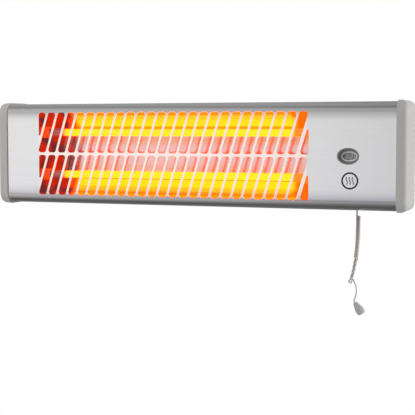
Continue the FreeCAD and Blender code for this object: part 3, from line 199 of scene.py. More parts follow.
def casingFinish():
    look = casingLook
    finish = Finish("satinSteel")
    x, y, z = [finish.axis(letter) for letter in "XYZ"]
    aside = abs(z)
    beyondZ = z.math("MAXIMUM", aside - look["bendZ"], 0.0)
    beyondY = y.math("MAXIMUM", look["bendY"] - y, 0.0)
    reach = (beyondZ * beyondZ + beyondY * beyondY) ** 0.5
    outside = reach.math("GREATER_THAN", reach, look["skin"])  # the rest is primed, never lacquered
    lines = finish.noise(1.0, 4.0, look["streaks"], 0.6)
    specks = finish.noise(look["specks"], 2.0)
    wash = finish.noise(look["wash"], 2.0)
    grille = finish.within(x, *look["warmX"])
    paintedBarGlow = outside * grille * finish.between(aside, *look["warmZ"], 1.0, 0.0)  # painted warm glow, tint and emission, on the bars between the slots
    worn = lines * look["streakShare"] + wash * look["washShare"]
    lacquer = finish.blend(paintedBarGlow, finish.blend(worn, look["tone"], look["dull"]), look["warmTone"])
    primer = look["primerMetal"]
    finish.set(tone=finish.blend(outside, look["zinc"], lacquer), metal=outside * (1 - primer) + primer)
    finish.set(glowTone=finish.blend(paintedBarGlow, black, look["warmGlow"]), glowPower=1.0)
    rough = look["roughness"] + lines * look["streakRough"] + specks * look["speckRough"]
    finish.set(rough=rough + (1 - outside) * look["primerRough"])
    climb = (aside - look["crownFrom"]) / (look["bendZ"] - look["crownFrom"])
    crown = finish.node("ShaderNodeClamp", None, {0: climb, 2: look["crownMost"]})
    grain = (lines * look["streakGrain"] + specks * (1 - look["streakGrain"])) * look["grain"]
    height = grain - crown ** 3 * look["crownDeep"]
    finish.set(relief=finish.bump(height, 1.0, 1.0))  # heights in metres
    return finish.material


# moulded plastics share one recipe: fine spark-eroded grain, slight tone drift

plastics = {
    "capPlastic": {"tone": (0.415, 0.398, 0.387), "grain": 2600.0, "roughness": 0.52, "depth": 0.05},
    "blackPlastic": {"tone": (0.018, 0.018, 0.019), "grain": 2200.0, "roughness": 0.45, "depth": 0.05},
    "whitePlastic": {"tone": (0.72, 0.72, 0.70), "grain": 1800.0, "roughness": 0.4, "depth": 0.03},
    "bezelPlastic": {"tone": (0.19, 0.19, 0.19), "grain": 2600.0, "roughness": 0.33, "depth": 0.02},
    # the lip's pale tone is a painted highlight
    "lipHighlightPlastic": {"tone": (0.70, 0.70, 0.70), "grain": 2600.0, "roughness": 0.3, "depth": 0.02},
    "rodPlastic": {"tone": (0.55, 0.55, 0.54), "grain": 2000.0, "roughness": 0.42, "depth": 0.03},
    "knobPlastic": {"tone": (0.365, 0.36, 0.357), "grain": 1700.0, "roughness": 0.42, "depth": 0.004},
}
moulding = {"gloss": 0.4, "drift": 45.0, "driftShare": 0.6, "paler": 1.08, "darker": 0.93,
            "roughSwing": 0.12, "relief": 0.35}


def plasticFinish(name):
    look = plastics[name]
    finish = Finish(name, gloss=moulding["gloss"])
    grain = finish.noise(look["grain"], 2.0)
    drift = finish.noise(moulding["drift"])
    paler, darker = [scaled(look["tone"], moulding[key]) for key in ("paler", "darker")]
    share = moulding["driftShare"]
    finish.set(tone=finish.blend(drift * share + grain * (1 - share), darker, paler))
    finish.set(rough=look["roughness"] + (grain - 0.5) * moulding["roughSwing"])
    finish.set(relief=finish.bump(grain, moulding["relief"], look["depth"] * mm))
    return finish.material


# bare and plated metals

metals = {
    "zincPlate": {"tone": (0.60, 0.61, 0.635), "tint": (0.63, 0.61, 0.56), "roughness": 0.38,
                  "scale": 60.0, "metal": 0.55},
    "brightSteel": {"tone": (0.70, 0.70, 0.71), "tint": (0.62, 0.62, 0.63), "roughness": 0.26,
                    "scale": 400.0},
    "stripBrass": {"tone": (0.80, 0.58, 0.24), "tint": (0.70, 0.46, 0.18), "roughness": 0.3,
                   "scale": 200.0},
    "resistanceWire": {"tone": (0.30, 0.27, 0.25), "tint": (0.16, 0.12, 0.1), "roughness": 0.5,
                       "scale": 500.0},
    "heatTintedSteelPaintedGlow": {"tone": (0.14, 0.08, 0.07), "tint": (0.09, 0.055, 0.06), "roughness": 0.62,
                    "scale": 90.0, "metal": 0.35, "glowLow": (0.05, 0.004, 0.005),
                    "glowHigh": (0.64, 0.016, 0.0)},
}
plating = {"cloudScale": 0.4, "spangleShare": 0.6, "roughSwing": 0.14, "relief": 0.1, "depth": 0.05 * mm,
           "glowPatches": (0.3, 0.7)}


def metalFinish(name):
    look = metals[name]
    finish = Finish(name, metal=look.get("metal", 1.0))
    spangle = finish.node("ShaderNodeTexVoronoi", None, {
        "Vector": finish.point(), "Scale": look["scale"]}, out="Distance")
    cloud = finish.noise(look["scale"] * plating["cloudScale"], 4.0)
    share = plating["spangleShare"]
    finish.set(tone=finish.blend(spangle * share + cloud * (1 - share), look["tone"], look["tint"]))
    finish.set(rough=look["roughness"] + (cloud - 0.5) * plating["roughSwing"])
    finish.set(relief=finish.bump(cloud, plating["relief"], plating["depth"]))
    # a painted red glow, as emission, in patches on the plate's face toward the tubes
    if "glowHigh" in look:
        patches = finish.between(cloud, *plating["glowPatches"])
        glowing = finish.blend(patches, look["glowLow"], look["glowHigh"])
        front = tubeSide(finish, finish.axis("Z"))
        finish.set(glowTone=finish.blend(front, black, glowing), glowPower=1.0)
    return finish.material


# reflector: bright flanks that mirror the tubes, painted glow reflection over the flat middle, painted red
# glow and shade at the left end

reflectorLook = {
    "flank": (0.95, 0.92, 0.84), "flankFrom": (0.0215, 0.0245), "roughness": 0.09,
    "middle": (0.95, 0.58, 0.55), "dull": (0.90, 0.53, 0.50),
    "rollLines": (1.5, 160.0, 160.0), "lineRough": 0.08, "lineShare": 0.15,
    "waves": 28.0, "waveRelief": 0.06, "waveDepth": 0.4 * mm,
    "upperGlowBand": (0.007, 0.019), "upperTone": (0.94, 0.41, 0.25),
    "lowerGlowBand": (-0.021, -0.008), "lowerTone": (0.94, 0.46, 0.33),
    "gap": (0.0325, 0.0340, 0.0342, 0.0368), "gapTone": (0.55, 0.36, 0.18),
    "rim": (-0.0511, -0.0492), "rimShade": (0.75, 0.52, 0.32),
    "upperSheen": (0.0448, 0.0472, 0.0480, 0.0510),
    "lowerSheen": (-0.0486, -0.0469, -0.0463, -0.0438), "sheenGlow": (0.34, 0.32, 0.012),
    "warmEnd": (0.122, 0.131), "warmTone": (0.95, 0.62, 0.14),
    "coolEnd": (-0.177, -0.164), "endShade": (0.10, 0.07, 0.06),
    "endCloud": 60.0, "endPatches": (0.36, 0.64),
    "endDull": (0.12, 0.020, 0.022), "endGlow": (0.60, 0.016, 0.0),
    "backTone": (0.62, 0.62, 0.63), "sheet": 0.6 * mm, "faceDepth": (0.25, 0.5),
    "flange": 5.0 * mm}


def tubeSide(finish, z):
    # 1 on the trough's inner face: a flat back, then a parabola about each tube up to the flange
    look = reflectorLook
    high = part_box("reflector")[1]
    vertex = high.y - look["sheet"]
    focus = vertex - glow["axisY"]
    reach = high.z - look["flange"] - glow["axisZ"]
    rise = z.math("MAXIMUM", abs(z) - glow["axisZ"], 0.0)
    rise = z.math("MINIMUM", rise, reach)
    behind = finish.axis("Y") - (vertex - rise * rise / (4 * focus))
    near, far = [look["sheet"] * share for share in look["faceDepth"]]
    return finish.between(behind, near, far, 1.0, 0.0)


def reflectorFinish():
    look = reflectorLook
    finish = Finish("polishedAluminium", metal=1.0)
    lines = finish.noise(1.0, 3.0, look["rollLines"])
    waves = finish.noise(look["waves"], 1.0)
    x, z = finish.axis("X"), finish.axis("Z")
    # the pink middle and the bands above and below the tubes are painted reflections of the glow
    glowReflection = finish.blend(lines, look["middle"], look["dull"])
    glowReflection = finish.blend(finish.between(z, *look["upperGlowBand"]), glowReflection, look["upperTone"])
    glowReflection = finish.blend(finish.between(z, *look["lowerGlowBand"], 1.0, 0.0), glowReflection, look["lowerTone"])
    flanks = finish.between(abs(z), *look["flankFrom"])
    polish = finish.blend(flanks, glowReflection, look["flank"])
    gap = finish.within(z, *look["gap"])  # in the upper tube's own shadow
    polish = finish.blend(gap, polish, look["gapTone"])
    # painted shade along the lower rim
    polish = finish.blend(finish.between(z, *look["rim"], 1.0, 0.0), polish, look["rimShade"])
    past = finish.between(x, *look["warmEnd"])
    polish = finish.blend(past * flanks, polish, look["warmTone"])  # past the lit length: a painted orange reflection of the glow
    cooler = finish.between(x, *look["coolEnd"], 1.0, 0.0)
    polish = finish.blend(cooler, polish, look["endShade"])  # painted shade at the far end
    front = tubeSide(finish, z)
    finish.set(tone=finish.blend(front, look["backTone"], polish))
    # painted red glow in patches at the far end, as emission
    patches = finish.between(finish.noise(look["endCloud"], 2.0), *look["endPatches"])
    paintedEndGlow = finish.blend(patches, look["endDull"], look["endGlow"])
    sheen = finish.within(z, *look["upperSheen"]) + finish.within(z, *look["lowerSheen"])
    glowing = finish.blend(cooler, finish.blend(sheen * (1 - past), black, look["sheenGlow"]), paintedEndGlow)
    finish.set(glowTone=finish.blend(front, black, glowing), glowPower=1.0)
    finish.set(rough=look["roughness"] + lines * look["lineRough"])
    finish.set(relief=finish.bump(waves + lines * look["lineShare"], look["waveRelief"], look["waveDepth"]))
    return finish.material


# powder coat of the wall bracket: fine orange peel

bracketLook = {"tone": (0.46, 0.455, 0.45), "darker": 0.94, "drift": 30.0, "gloss": 0.5, "roughness": 0.42,
               "peel": 700.0, "peelRough": 0.1, "relief": 0.4, "depth": 0.06 * mm}


def bracketFinish():
    look = bracketLook
    finish = Finish("bracketPaint", gloss=look["gloss"])
    peel = finish.noise(look["peel"], 2.0)
    drift = finish.noise(look["drift"])
    finish.set(tone=finish.blend(drift, scaled(look["tone"], look["darker"]), look["tone"]))
    finish.set(rough=look["roughness"] + peel * look["peelRough"])
    finish.set(relief=finish.bump(peel, look["relief"], look["depth"]))
    return finish.material


# glowing quartz tubes: lit over the coil's length, with a painted shade line along the front-outer side, dim
# and frosted at the cold ends, with a faint painted glow there

glow = {
    "lit": (-0.1905, -0.1815, 0.1230, 0.1320), "strength": 13.0, "split": (-0.05, 0.05),
    "hot": (1.0, 0.069, 0.0005), "coldLeft": (0.012, 0.001, 0.0005), "coldRight": (0.085, 0.018, 0.001),
    "shadeLine": (0.05, 0.011, 0.0), "shadeLineOut": (0.0035, 0.0045), "shadeLineDeep": 0.0015,
    "coilPitch": 2.1 * mm, "coilShow": 0.07,
    "glass": (0.035, 0.022, 0.018), "haze": (0.055, 0.034, 0.028), "hazeScale": 300.0,
    "frostLeft": (0.42, 0.24, 0.25), "frostRight": (0.32, 0.11, 0.03),
    "roughness": 0.3, "index": 1.46, "gloss": 0.15, "axisY": -0.070, "axisZ": 0.028}


def quartzFinish():
    finish = Finish("frostedQuartz", rough=glow["roughness"], glowPower=glow["strength"],
                    index=glow["index"], gloss=glow["gloss"])
    x, y, z = [finish.axis(letter) for letter in "XYZ"]
    wave = x.math("SINE", x * (2 * math.pi / glow["coilPitch"]))
    # a painted shade line along the tube's front-outer side
    outward = finish.between(abs(z) - glow["axisZ"], *glow["shadeLineOut"])
    frontHalf = finish.between(y, glow["axisY"] - glow["shadeLineDeep"], glow["axisY"], 1.0, 0.0)
    hot = finish.blend(outward * frontHalf, glow["hot"], glow["shadeLine"])
    lit = finish.within(x, *glow["lit"])
    # the cold ends carry a faint painted glow, and their frost tint, pink at the left and orange at the
    # right, is painted light from the glow
    rightward = finish.between(x, *glow["split"])
    cold = finish.blend(rightward, glow["coldLeft"], glow["coldRight"])
    frost = finish.blend(rightward, glow["frostLeft"], glow["frostRight"])
    turns = 1 - glow["coilShow"] + wave * glow["coilShow"]
    finish.set(glowTone=finish.blend(lit * turns, cold, hot))
    clouded = finish.blend(finish.noise(glow["hazeScale"], 2.0), glow["glass"], glow["haze"])
    finish.set(tone=finish.blend(lit, frost, clouded))
    return finish.material


# steatite ends: browned ceramic, a painted red glow on the tube's side

steatiteLook = {
    "tone": (0.10, 0.06, 0.05), "grey": (0.08, 0.055, 0.05), "roughness": 0.65, "roughSwing": 0.2,
    "warmLeft": (1.0, 0.055, 0.0), "warmRight": (1.0, 0.18, 0.008), "strength": 1.1,
    "warmX": (-0.230, -0.214, 0.146, 0.164), "flicker": 0.4,
    "grain": 900.0, "relief": 0.3, "depth": 0.05 * mm}


def steatiteFinish():
    look = steatiteLook
    finish = Finish("steatite", glowPower=look["strength"])
    x = finish.axis("X")
    grain = finish.noise(look["grain"])
    # painted red glow, as emission, near the tubes
    glowShare = finish.within(x, *look["warmX"]) * (1 + (grain - 0.5) * look["flicker"])
    warm = finish.blend(finish.between(x, *glow["split"]), look["warmLeft"], look["warmRight"])
    finish.set(glowTone=finish.blend(glowShare, black, warm))
    finish.set(tone=finish.blend(grain, look["tone"], look["grey"]))
    finish.set(rough=look["roughness"] + (grain - 0.5) * look["roughSwing"])
    finish.set(relief=finish.bump(grain, look["relief"], look["depth"]))
    return finish.material


# silicone sleeved leads

leadTones = {"leadRed": (0.42, 0.02, 0.016), "leadBlue": (0.02, 0.07, 0.35)}
leadLook = {"dust": 800.0, "dustShare": 0.5, "dustyTone": (0.6, 0.05), "roughness": 0.45, "dustRough": 0.15}


def leadFinish(name):
    finish = Finish(name)
    dust = finish.noise(leadLook["dust"])
    dusty = scaled(leadTones[name], *leadLook["dustyTone"])
    finish.set(tone=finish.blend(dust * leadLook["dustShare"], leadTones[name], dusty))
    finish.set(rough=leadLook["roughness"] + dust * leadLook["dustRough"])
    return finish.material


# smoked lens in the window

lensLook = {"tone": (0.78, 0.78, 0.78), "hazeTone": (0.84, 0.84, 0.84), "haze": 500.0, "hazeShare": 0.3,
            "roughness": 0.12, "hazeRough": 0.06, "clear": 0.85, "index": 1.49}


def lensFinish():
    look = lensLook
    finish = Finish("smokedLens", clear=look["clear"], index=look["index"])
    haze = finish.noise(look["haze"], 2.0)
    finish.set(tone=finish.blend(haze * look["hazeShare"], look["tone"], look["hazeTone"]))
    finish.set(rough=look["roughness"] + haze * look["hazeRough"])
    return finish.material


# cord: twisted fibre, read on its own UV map (u round the cord, v along it in turns)

fibreLook = {
    "tone": (0.58, 0.52, 0.49), "shade": (0.33, 0.29, 0.27), "strands": 3.0, "lay": 0.5,
    "fuzz": 2600.0, "fuzzShare": 0.4, "fuzzHeight": 0.3, "roughness": 0.85,
    "relief": 0.6, "depth": 0.12 * mm}


def fibreFinish():
    look = fibreLook
    finish = Finish("cordFibre", rough=look["roughness"])
    place = finish.node("ShaderNodeTexCoord", out="UV")
    u, v = [finish.node("ShaderNodeSeparateXYZ", None, {0: place}, out=letter) for letter in "XY"]
    turn = (u * look["strands"] + v * look["lay"]) * (2 * math.pi)
    ridge = u.math("SINE", turn) * 0.5 + 0.5
    fuzz = finish.noise(look["fuzz"], 4.0)
    mixed = lambda share: ridge * (1 - share) + fuzz * share
    finish.set(tone=finish.blend(mixed(look["fuzzShare"]), look["shade"], look["tone"]))
    finish.set(relief=finish.bump(mixed(look["fuzzHeight"]), look["relief"], look["depth"]))
    return finish.material


# ink of the printed ring and the numerals

inkLook = {"tone": (0.012, 0.012, 0.014), "gloss": 0.2, "roughness": 0.5, "wear": 1500.0, "wearShare": 0.4,
           "wearLift": 0.015, "wearRough": 0.2}


def inkFinish():
    look = inkLook
    finish = Finish("printInk", gloss=look["gloss"])
    wear = finish.noise(look["wear"])
    worn = scaled(look["tone"], 1.0, look["wearLift"])
    finish.set(tone=finish.blend(wear * look["wearShare"], look["tone"], worn))
    finish.set(rough=look["roughness"] + wear * look["wearRough"])
    return finish.material


finishes = {name: plasticFinish(name) for name in plastics}
finishes.update({name: metalFinish(name) for name in metals})
finishes.update({name: leadFinish(name) for name in leadTones})
finishes.update({
    "satinSteel": casingFinish(), "polishedAluminium": reflectorFinish(), "bracketPaint": bracketFinish(),
    "frostedQuartz": quartzFinish(), "steatite": steatiteFinish(), "smokedLens": lensFinish(),
    "cordFibre": fibreFinish(), "printInk": inkFinish()})

dressing = {
    "satinSteel": ["front_casing"],
    "capPlastic": ["end_cap_left", "end_cap_right"],
    "polishedAluminium": ["reflector"],
    "frostedQuartz": ["quartz_tube_upper", "quartz_tube_lower"],
    "resistanceWire": ["heating_coil_upper", "heating_coil_lower"],
    "steatite": ["ceramic_upper_left", "ceramic_upper_right", "ceramic_lower_left", "ceramic_lower_right"],
    "zincPlate": ["back_plate", "ear_rivets"],
    "heatTintedSteelPaintedGlow": ["tube_carrier_left", "tube_carrier_right"],
    "bracketPaint": ["wall_bracket"],
    "brightSteel": ["hinge_ear_left", "hinge_ear_right", "pivot_bolts", "pivot_nuts", "terminal_pins",
                    "drum_shaft"],
    "stripBrass": ["neutral_strip"],
    "blackPlastic": ["switch_housing", "thermal_cutout", "cable_gland", "pivot_washers"],
    "whitePlastic": ["indicator_drum", "terminal_block"],
    "bezelPlastic": ["window_bezel"],
    "smokedLens": ["window_lens"],
    "rodPlastic": ["pull_rod", "cord_bush"],
    "leadRed": ["lead_live_upper", "lead_live_lower", "lead_cutout", "lead_feed"],
    "leadBlue": ["lead_neutral"],
}
for finishName, pieces in dressing.items():
    for piece in pieces:
        for slot in nodes[piece].material_slots:
            slot.material = finishes[finishName]
print("finishes:", len(finishes))


# skins: rings of points joined up, then closed, turned outwards and given a finish

def circle(count):
    return [2 * math.pi * step / count for step in range(count)]


def bridge(shape, rings):
    faces = []
    for first, second in zip(rings, rings[1:]):
        for step in range(len(first)):
            after = (step + 1) % len(first)
            faces.append(shape.faces.new((first[step], first[after], second[after], second[step])))
            faces[-1].smooth = True
    return faces


def closedMesh(name, shape, finishName):
    bmesh.ops.recalc_face_normals(shape, faces=shape.faces)
    mesh = bpy.data.meshes.new(name)
    shape.to_mesh(mesh)
    shape.free()
    mesh.materials.append(finishes[finishName])
    return mesh


# pull cord: drop, wound hank, twist of three strands with its ring, tail
# in millimetres along the solids' route, with twist and ring drawn tight as the cord lies

cordRoute = {
    "exit": (203.5, -52.0, -66.5), "hinge": -67.5, "radius": 0.85, "sides": 10, "smooth": 4,
    "hankDrop": 2.4, "turns": 20.356, "pitch": 2.525, "wound": (2.15, 1.5), "pointsPerTurn": 14,
    "bend": 2.3, "bendOut": 0.9, "archClear": 2.85, "arch": 1.15, "archOffset": 0.6, "archSteps": 6,
    "twistRadius": 1.35, "twistLength": 20.45, "twistTurn": math.radians(-368.5), "twistPoints": 16,
    "gather": 0.2, "twistEase": 0.2,
    "ring": 1.84, "ringDrop": 6.6, "ringWrap": math.radians(45), "ringPoints": 12,
    "pinch": 0.95, "pinchRise": 3.0, "drift": 7.6,
    "tail": [(0.4, -2.0), (3.0, -5.8), (4.9, -11.0), (5.6, -17.0), (4.8, -23.0), (3.1, -27.4),
             (2.4, -29.6)],
    "knobLean": math.radians(34), "knobStep": 2.2, "leadSteps": 6}


def hankPoints():
    r = cordRoute
    bend, turns, pitch = r["bend"], r["turns"], r["pitch"]
    wide, deep = r["wound"]
    straight = 2 * r["radius"]
    above = Vector((0, 0, 1))
    radial = lambda angle: Vector((math.cos(angle), math.sin(angle), 0))
    oval = lambda angle: Vector((wide * math.cos(angle), deep * math.sin(angle), 0))
    sideways = lambda angle: Vector((-math.sin(angle), math.cos(angle), 0))
    first, last = math.pi, math.pi * (1 + 2 * turns)
    bottom = -pitch * turns
    entry = oval(first) - sideways(first) * bend
    wayOut = oval(last) + sideways(last) * r["bendOut"]
    points = [entry + above * rise for rise in (bend + straight, bend, 0)]
    count = round(turns * r["pointsPerTurn"])
    for step in range(count + 1):
        points.append(oval(first + (last - first) * step / count) + above * (bottom * step / count))
    points += [wayOut + above * rise for rise in (bottom, bottom - r["bendOut"])]

    spring = bottom - r["archClear"]
    firstAngle = math.atan2(wayOut.y, wayOut.x)
    backWay, aside = radial(firstAngle + math.pi), sideways(firstAngle + math.pi)
    low = above * spring
    tops = {"down": wayOut + low,
            "up": backWay * r["archOffset"] + aside * r["arch"] + low,
            "out": backWay * r["archOffset"] - aside * r["arch"] + low}
    third = 2 * math.pi / 3
    turned = {"down": firstAngle, "up": firstAngle + 2 * third, "out": firstAngle + third}

    def eased(share):
        soft = r["twistEase"]
        if share < soft:
            return share ** 2 / (2 * soft * (1 - soft))
        if share > 1 - soft:
            return 1 - (1 - share) ** 2 / (2 * soft * (1 - soft))
        return (share - soft / 2) / (1 - soft)

    def strand(name):
        top = tops[name]
        startRadius, startAngle = math.hypot(top.x, top.y), math.atan2(top.y, top.x)
        lag = (startAngle - turned[name] + math.pi) % (2 * math.pi) - math.pi
        spots = []
        for step in range(r["twistPoints"] + 1):
            share = step / r["twistPoints"]
            ease = min(1, share / r["gather"])
            ease = ease * ease * (3 - 2 * ease)
            radius = startRadius + (r["twistRadius"] - startRadius) * ease
            angle = turned[name] + lag * (1 - ease) + r["twistTurn"] * eased(share)
            spots.append(radial(angle) * radius + above * (spring - r["twistLength"] * share))
        return spots

    down, up, out = strand("down"), strand("up"), strand("out")
    points += down
    middle = (down[-1] + up[-1]) * 0.5
    across = (up[-1] - down[-1]).normalized()
    ringCentre = middle - above * r["ringDrop"]
    pinchTop = ringCentre + above * r["pinchRise"]
    points.append(pinchTop - across * r["pinch"])
    for step in range(r["ringPoints"] + 1):
        angle = (math.pi + 2 * r["ringWrap"]) * step / r["ringPoints"] - r["ringWrap"]
        points.append(ringCentre - (across * math.cos(angle) + above * math.sin(angle)) * r["ring"])
    points.append(pinchTop + across * r["pinch"])
    points += reversed(up)
    archCentre = (tops["up"] + tops["out"]) * 0.5
    over = (tops["out"] - tops["up"]) * 0.5
    for step in range(1, r["archSteps"]):
        angle = math.pi * step / r["archSteps"]
        points.append(archCentre - over * math.cos(angle) + above * (r["arch"] * math.sin(angle)))
    points += out
    return points


def cordPoints():
    r = cordRoute
    exitSpot = Vector(r["exit"])
    local = hankPoints()
    hankTop = Vector((exitSpot.x, exitSpot.y, r["hinge"] - r["hankDrop"]))
    axis = hankTop - local[0]
    straight = 2 * r["radius"]
    fullDrop = local[0].z - local[-1].z + straight
    ringShare = 1 + (r["ringDrop"] - straight) / fullDrop
    route = [Vector((exitSpot.x, exitSpot.y, r["hinge"] + r["radius"]))]
    route.append((route[0] + hankTop) * 0.5)
    for spot in local:
        share = min((local[0].z - spot.z) / fullDrop, ringShare)
        route.append(axis + spot + Vector((-r["drift"] * share ** 3, 0, 0)))
    tailStart = route[-1] - Vector((0, 0, straight))
    route.append(tailStart)
    route += [tailStart + Vector((x, 0, z)) for x, z in r["tail"]]
    knobWay = Vector((math.sin(r["knobLean"]), 0, -math.cos(r["knobLean"])))
    route.append(route[-1] + knobWay * r["knobStep"])
    return [spot * mm for spot in route], knobWay


def smoothPath(name, points, resolution):
    curve = bpy.data.curves.new(name, "CURVE")
    curve.dimensions = "3D"
    curve.resolution_u = resolution
    spline = curve.splines.new("NURBS")
    spline.points.add(len(points) - 1)
    for knot, spot in zip(spline.points, points):
        knot.co = (*spot, 1.0)
    spline.order_u = 3
    spline.use_endpoint_u = True
    holder = newObject(name, curve)
    line = bpy.data.meshes.new_from_object(holder)
    path = []
    for vertex in line.vertices:
        if not path or (vertex.co - path[-1]).length > 1e-6:
            path.append(vertex.co.copy())
    bpy.data.objects.remove(holder)
    bpy.data.meshes.remove(line)
    return path


def tubeMesh(name, path, radius, sides):
    shape = bmesh.new()
    uvLayer = shape.loops.layers.uv.new("along")
    heading = (path[1] - path[0]).normalized()
    side = heading.orthogonal().normalized()
    rings = []
    travelled = [0.0]
    for index, spot in enumerate(path):
        ahead = path[min(index + 1, len(path) - 1)]
        behind = path[max(index - 1, 0)]
        newHeading = (ahead - behind).normalized()
        side = heading.rotation_difference(newHeading) @ side
        side = (side - newHeading * side.dot(newHeading)).normalized()
        heading = newHeading
        other = heading.cross(side)
        rings.append([shape.verts.new(spot + (side * math.cos(turn) + other * math.sin(turn)) * radius)
                      for turn in circle(sides)])
        if index:
            travelled.append(travelled[-1] + (spot - path[index - 1]).length)
    perTurn = 2 * math.pi * radius
    for count, face in enumerate(bridge(shape, rings)):
        index, step = divmod(count, sides)
        around = (step / sides, (step + 1) / sides, (step + 1) / sides, step / sides)
        along = [travelled[index]] * 2 + [travelled[index + 1]] * 2
        for loop, u, v in zip(face.loops, around, along):
            loop[uvLayer].uv = (u, v / perTurn)
    shape.faces.new(list(reversed(rings[0])))
    shape.faces.new(rings[-1])
    return closedMesh(name, shape, "cordFibre")


# bell knob on the tail's end, fluted towards its foot

knobShape = {
    "length": 16.5, "neck": 2.9, "wide": 5.4, "foot": 4.75, "shoulder": 0.80, "swell": 1.25,
    "fullness": 1.12, "flutes": 8, "fluteDepth": 0.05, "fluteFrom": 0.55, "rings": 40, "sides": 96,
    "bore": 1.0, "boreDrop": 0.2, "lip": 0.75, "lipDrop": 0.7, "footShare": 0.55, "footSteps": 8,
    "end": 0.4, "endShare": 0.985}


def knobMesh(name, place, way):
    k = knobShape
    profile = [(k["bore"], k["boreDrop"]), (k["neck"] * k["lip"], 0.0), (k["neck"], k["lipDrop"])]
    for step in range(1, k["rings"]):
        share = step / k["rings"]
        swell = min(1.0, share ** k["swell"] * k["fullness"])
        radius = k["neck"] + (k["wide"] - k["neck"]) * math.sin(swell * math.pi / 2)
        profile.append((radius, k["lipDrop"] + (k["length"] * k["shoulder"] - k["lipDrop"]) * share))
    for step in range(1, k["footSteps"] + 1):
        angle = math.pi / 2 * step / k["footSteps"]
        profile.append((k["wide"] - (k["wide"] - k["foot"] * k["footShare"]) * (1 - math.cos(angle)),
                        k["length"] * (k["shoulder"] + (1 - k["shoulder"]) * math.sin(angle))))
    profile.append((k["end"], k["length"] * k["endShare"]))
    shape = bmesh.new()
    lean = Vector((0, 0, -1)).rotation_difference(way).to_matrix()
    rings = []
    for radius, drop in profile:
        share = min(1.0, max(0.0, (drop / k["length"] - k["fluteFrom"]) / (1 - k["fluteFrom"])))
        depth = k["fluteDepth"] * share * share * (3 - 2 * share)
        ring = []
        for angle in circle(k["sides"]):
            reach = radius * (1 - depth * (1 - math.cos(k["flutes"] * angle)))
            spot = Vector((reach * math.cos(angle), reach * math.sin(angle), -drop)) * mm
            ring.append(shape.verts.new(place + lean @ spot))
        rings.append(ring)
    bridge(shape, rings)
    shape.faces.new(rings[0])
    shape.faces.new(rings[-1])
    return closedMesh(name, shape, "knobPlastic")


route, knobWay = cordPoints()
facets = cordRoute["sides"]
wedge = 2 * math.pi / facets
tubeRadius = cordRoute["radius"] * mm * math.sqrt(wedge / math.sin(wedge))  # a round cord's area
cordPath = smoothPath("cordLine", route, cordRoute["smooth"])
pullCord = newObject("pullCord", tubeMesh("pullCord", cordPath, tubeRadius, facets))
knob = newObject("bellKnob", knobMesh("bellKnob", cordPath[-1], knobWay))
leadLow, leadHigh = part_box("cord_lead")
leadTop = Vector(((leadLow.x + leadHigh.x) / 2, (leadLow.y + leadHigh.y) / 2, leadHigh.z))
leadStep = Vector((0, 0, (leadLow.z - leadHigh.z) / cordRoute["leadSteps"]))
leadPath = [leadTop + leadStep * step for step in range(cordRoute["leadSteps"] + 1)]
cordLead = newObject("cordLead", tubeMesh("cordLead", leadPath, tubeRadius, facets))
measured = sum((b - a).length for a, b in zip(cordPath, cordPath[1:]))
print("cord:", len(route), "control points,", round(measured, 4), "m")


# screws: one geometry node tree, a pan head with its recess on each point

panHead = {"head": 3.0, "thick": 2.0, "recess": 0.75, "deep": 1.1, "shank": 1.5, "crown": 0.62, "blade": 1.15,
           "sunk": 0.1, "sides": 40, "shankSides": 20}
fasteners = {"caseScrews": "cap_screws", "carrierScrews": "carrier_screws", "switchScrews": "switch_screws"}
sizeInputs = {"Head Radius": "head", "Head Height": "thick", "Recess Width": "recess", "Recess Depth": "deep",
              "Shank Radius": "shank"}


def islandBoxes(nodeName):
    shape = bmesh.new()
    shape.from_mesh(nodes[nodeName].data)
    bmesh.ops.remove_doubles(shape, verts=shape.verts, dist=1e-6)
    left = set(shape.verts)
    boxes = []
    while left:
        queue = [left.pop()]
        group = []
        while queue:
            vertex = queue.pop()
            group.append(vertex.co.copy())
            for edge in vertex.link_edges:
                other = edge.other_vert(vertex)
                if other in left:
                    left.remove(other)
                    queue.append(other)
        low = Vector([min(spot[axis] for spot in group) for axis in range(3)])
        high = Vector([max(spot[axis] for spot in group) for axis in range(3)])
        boxes.append((low, high))
    shape.free()
    return sorted(boxes, key=lambda box: tuple(box[0]))


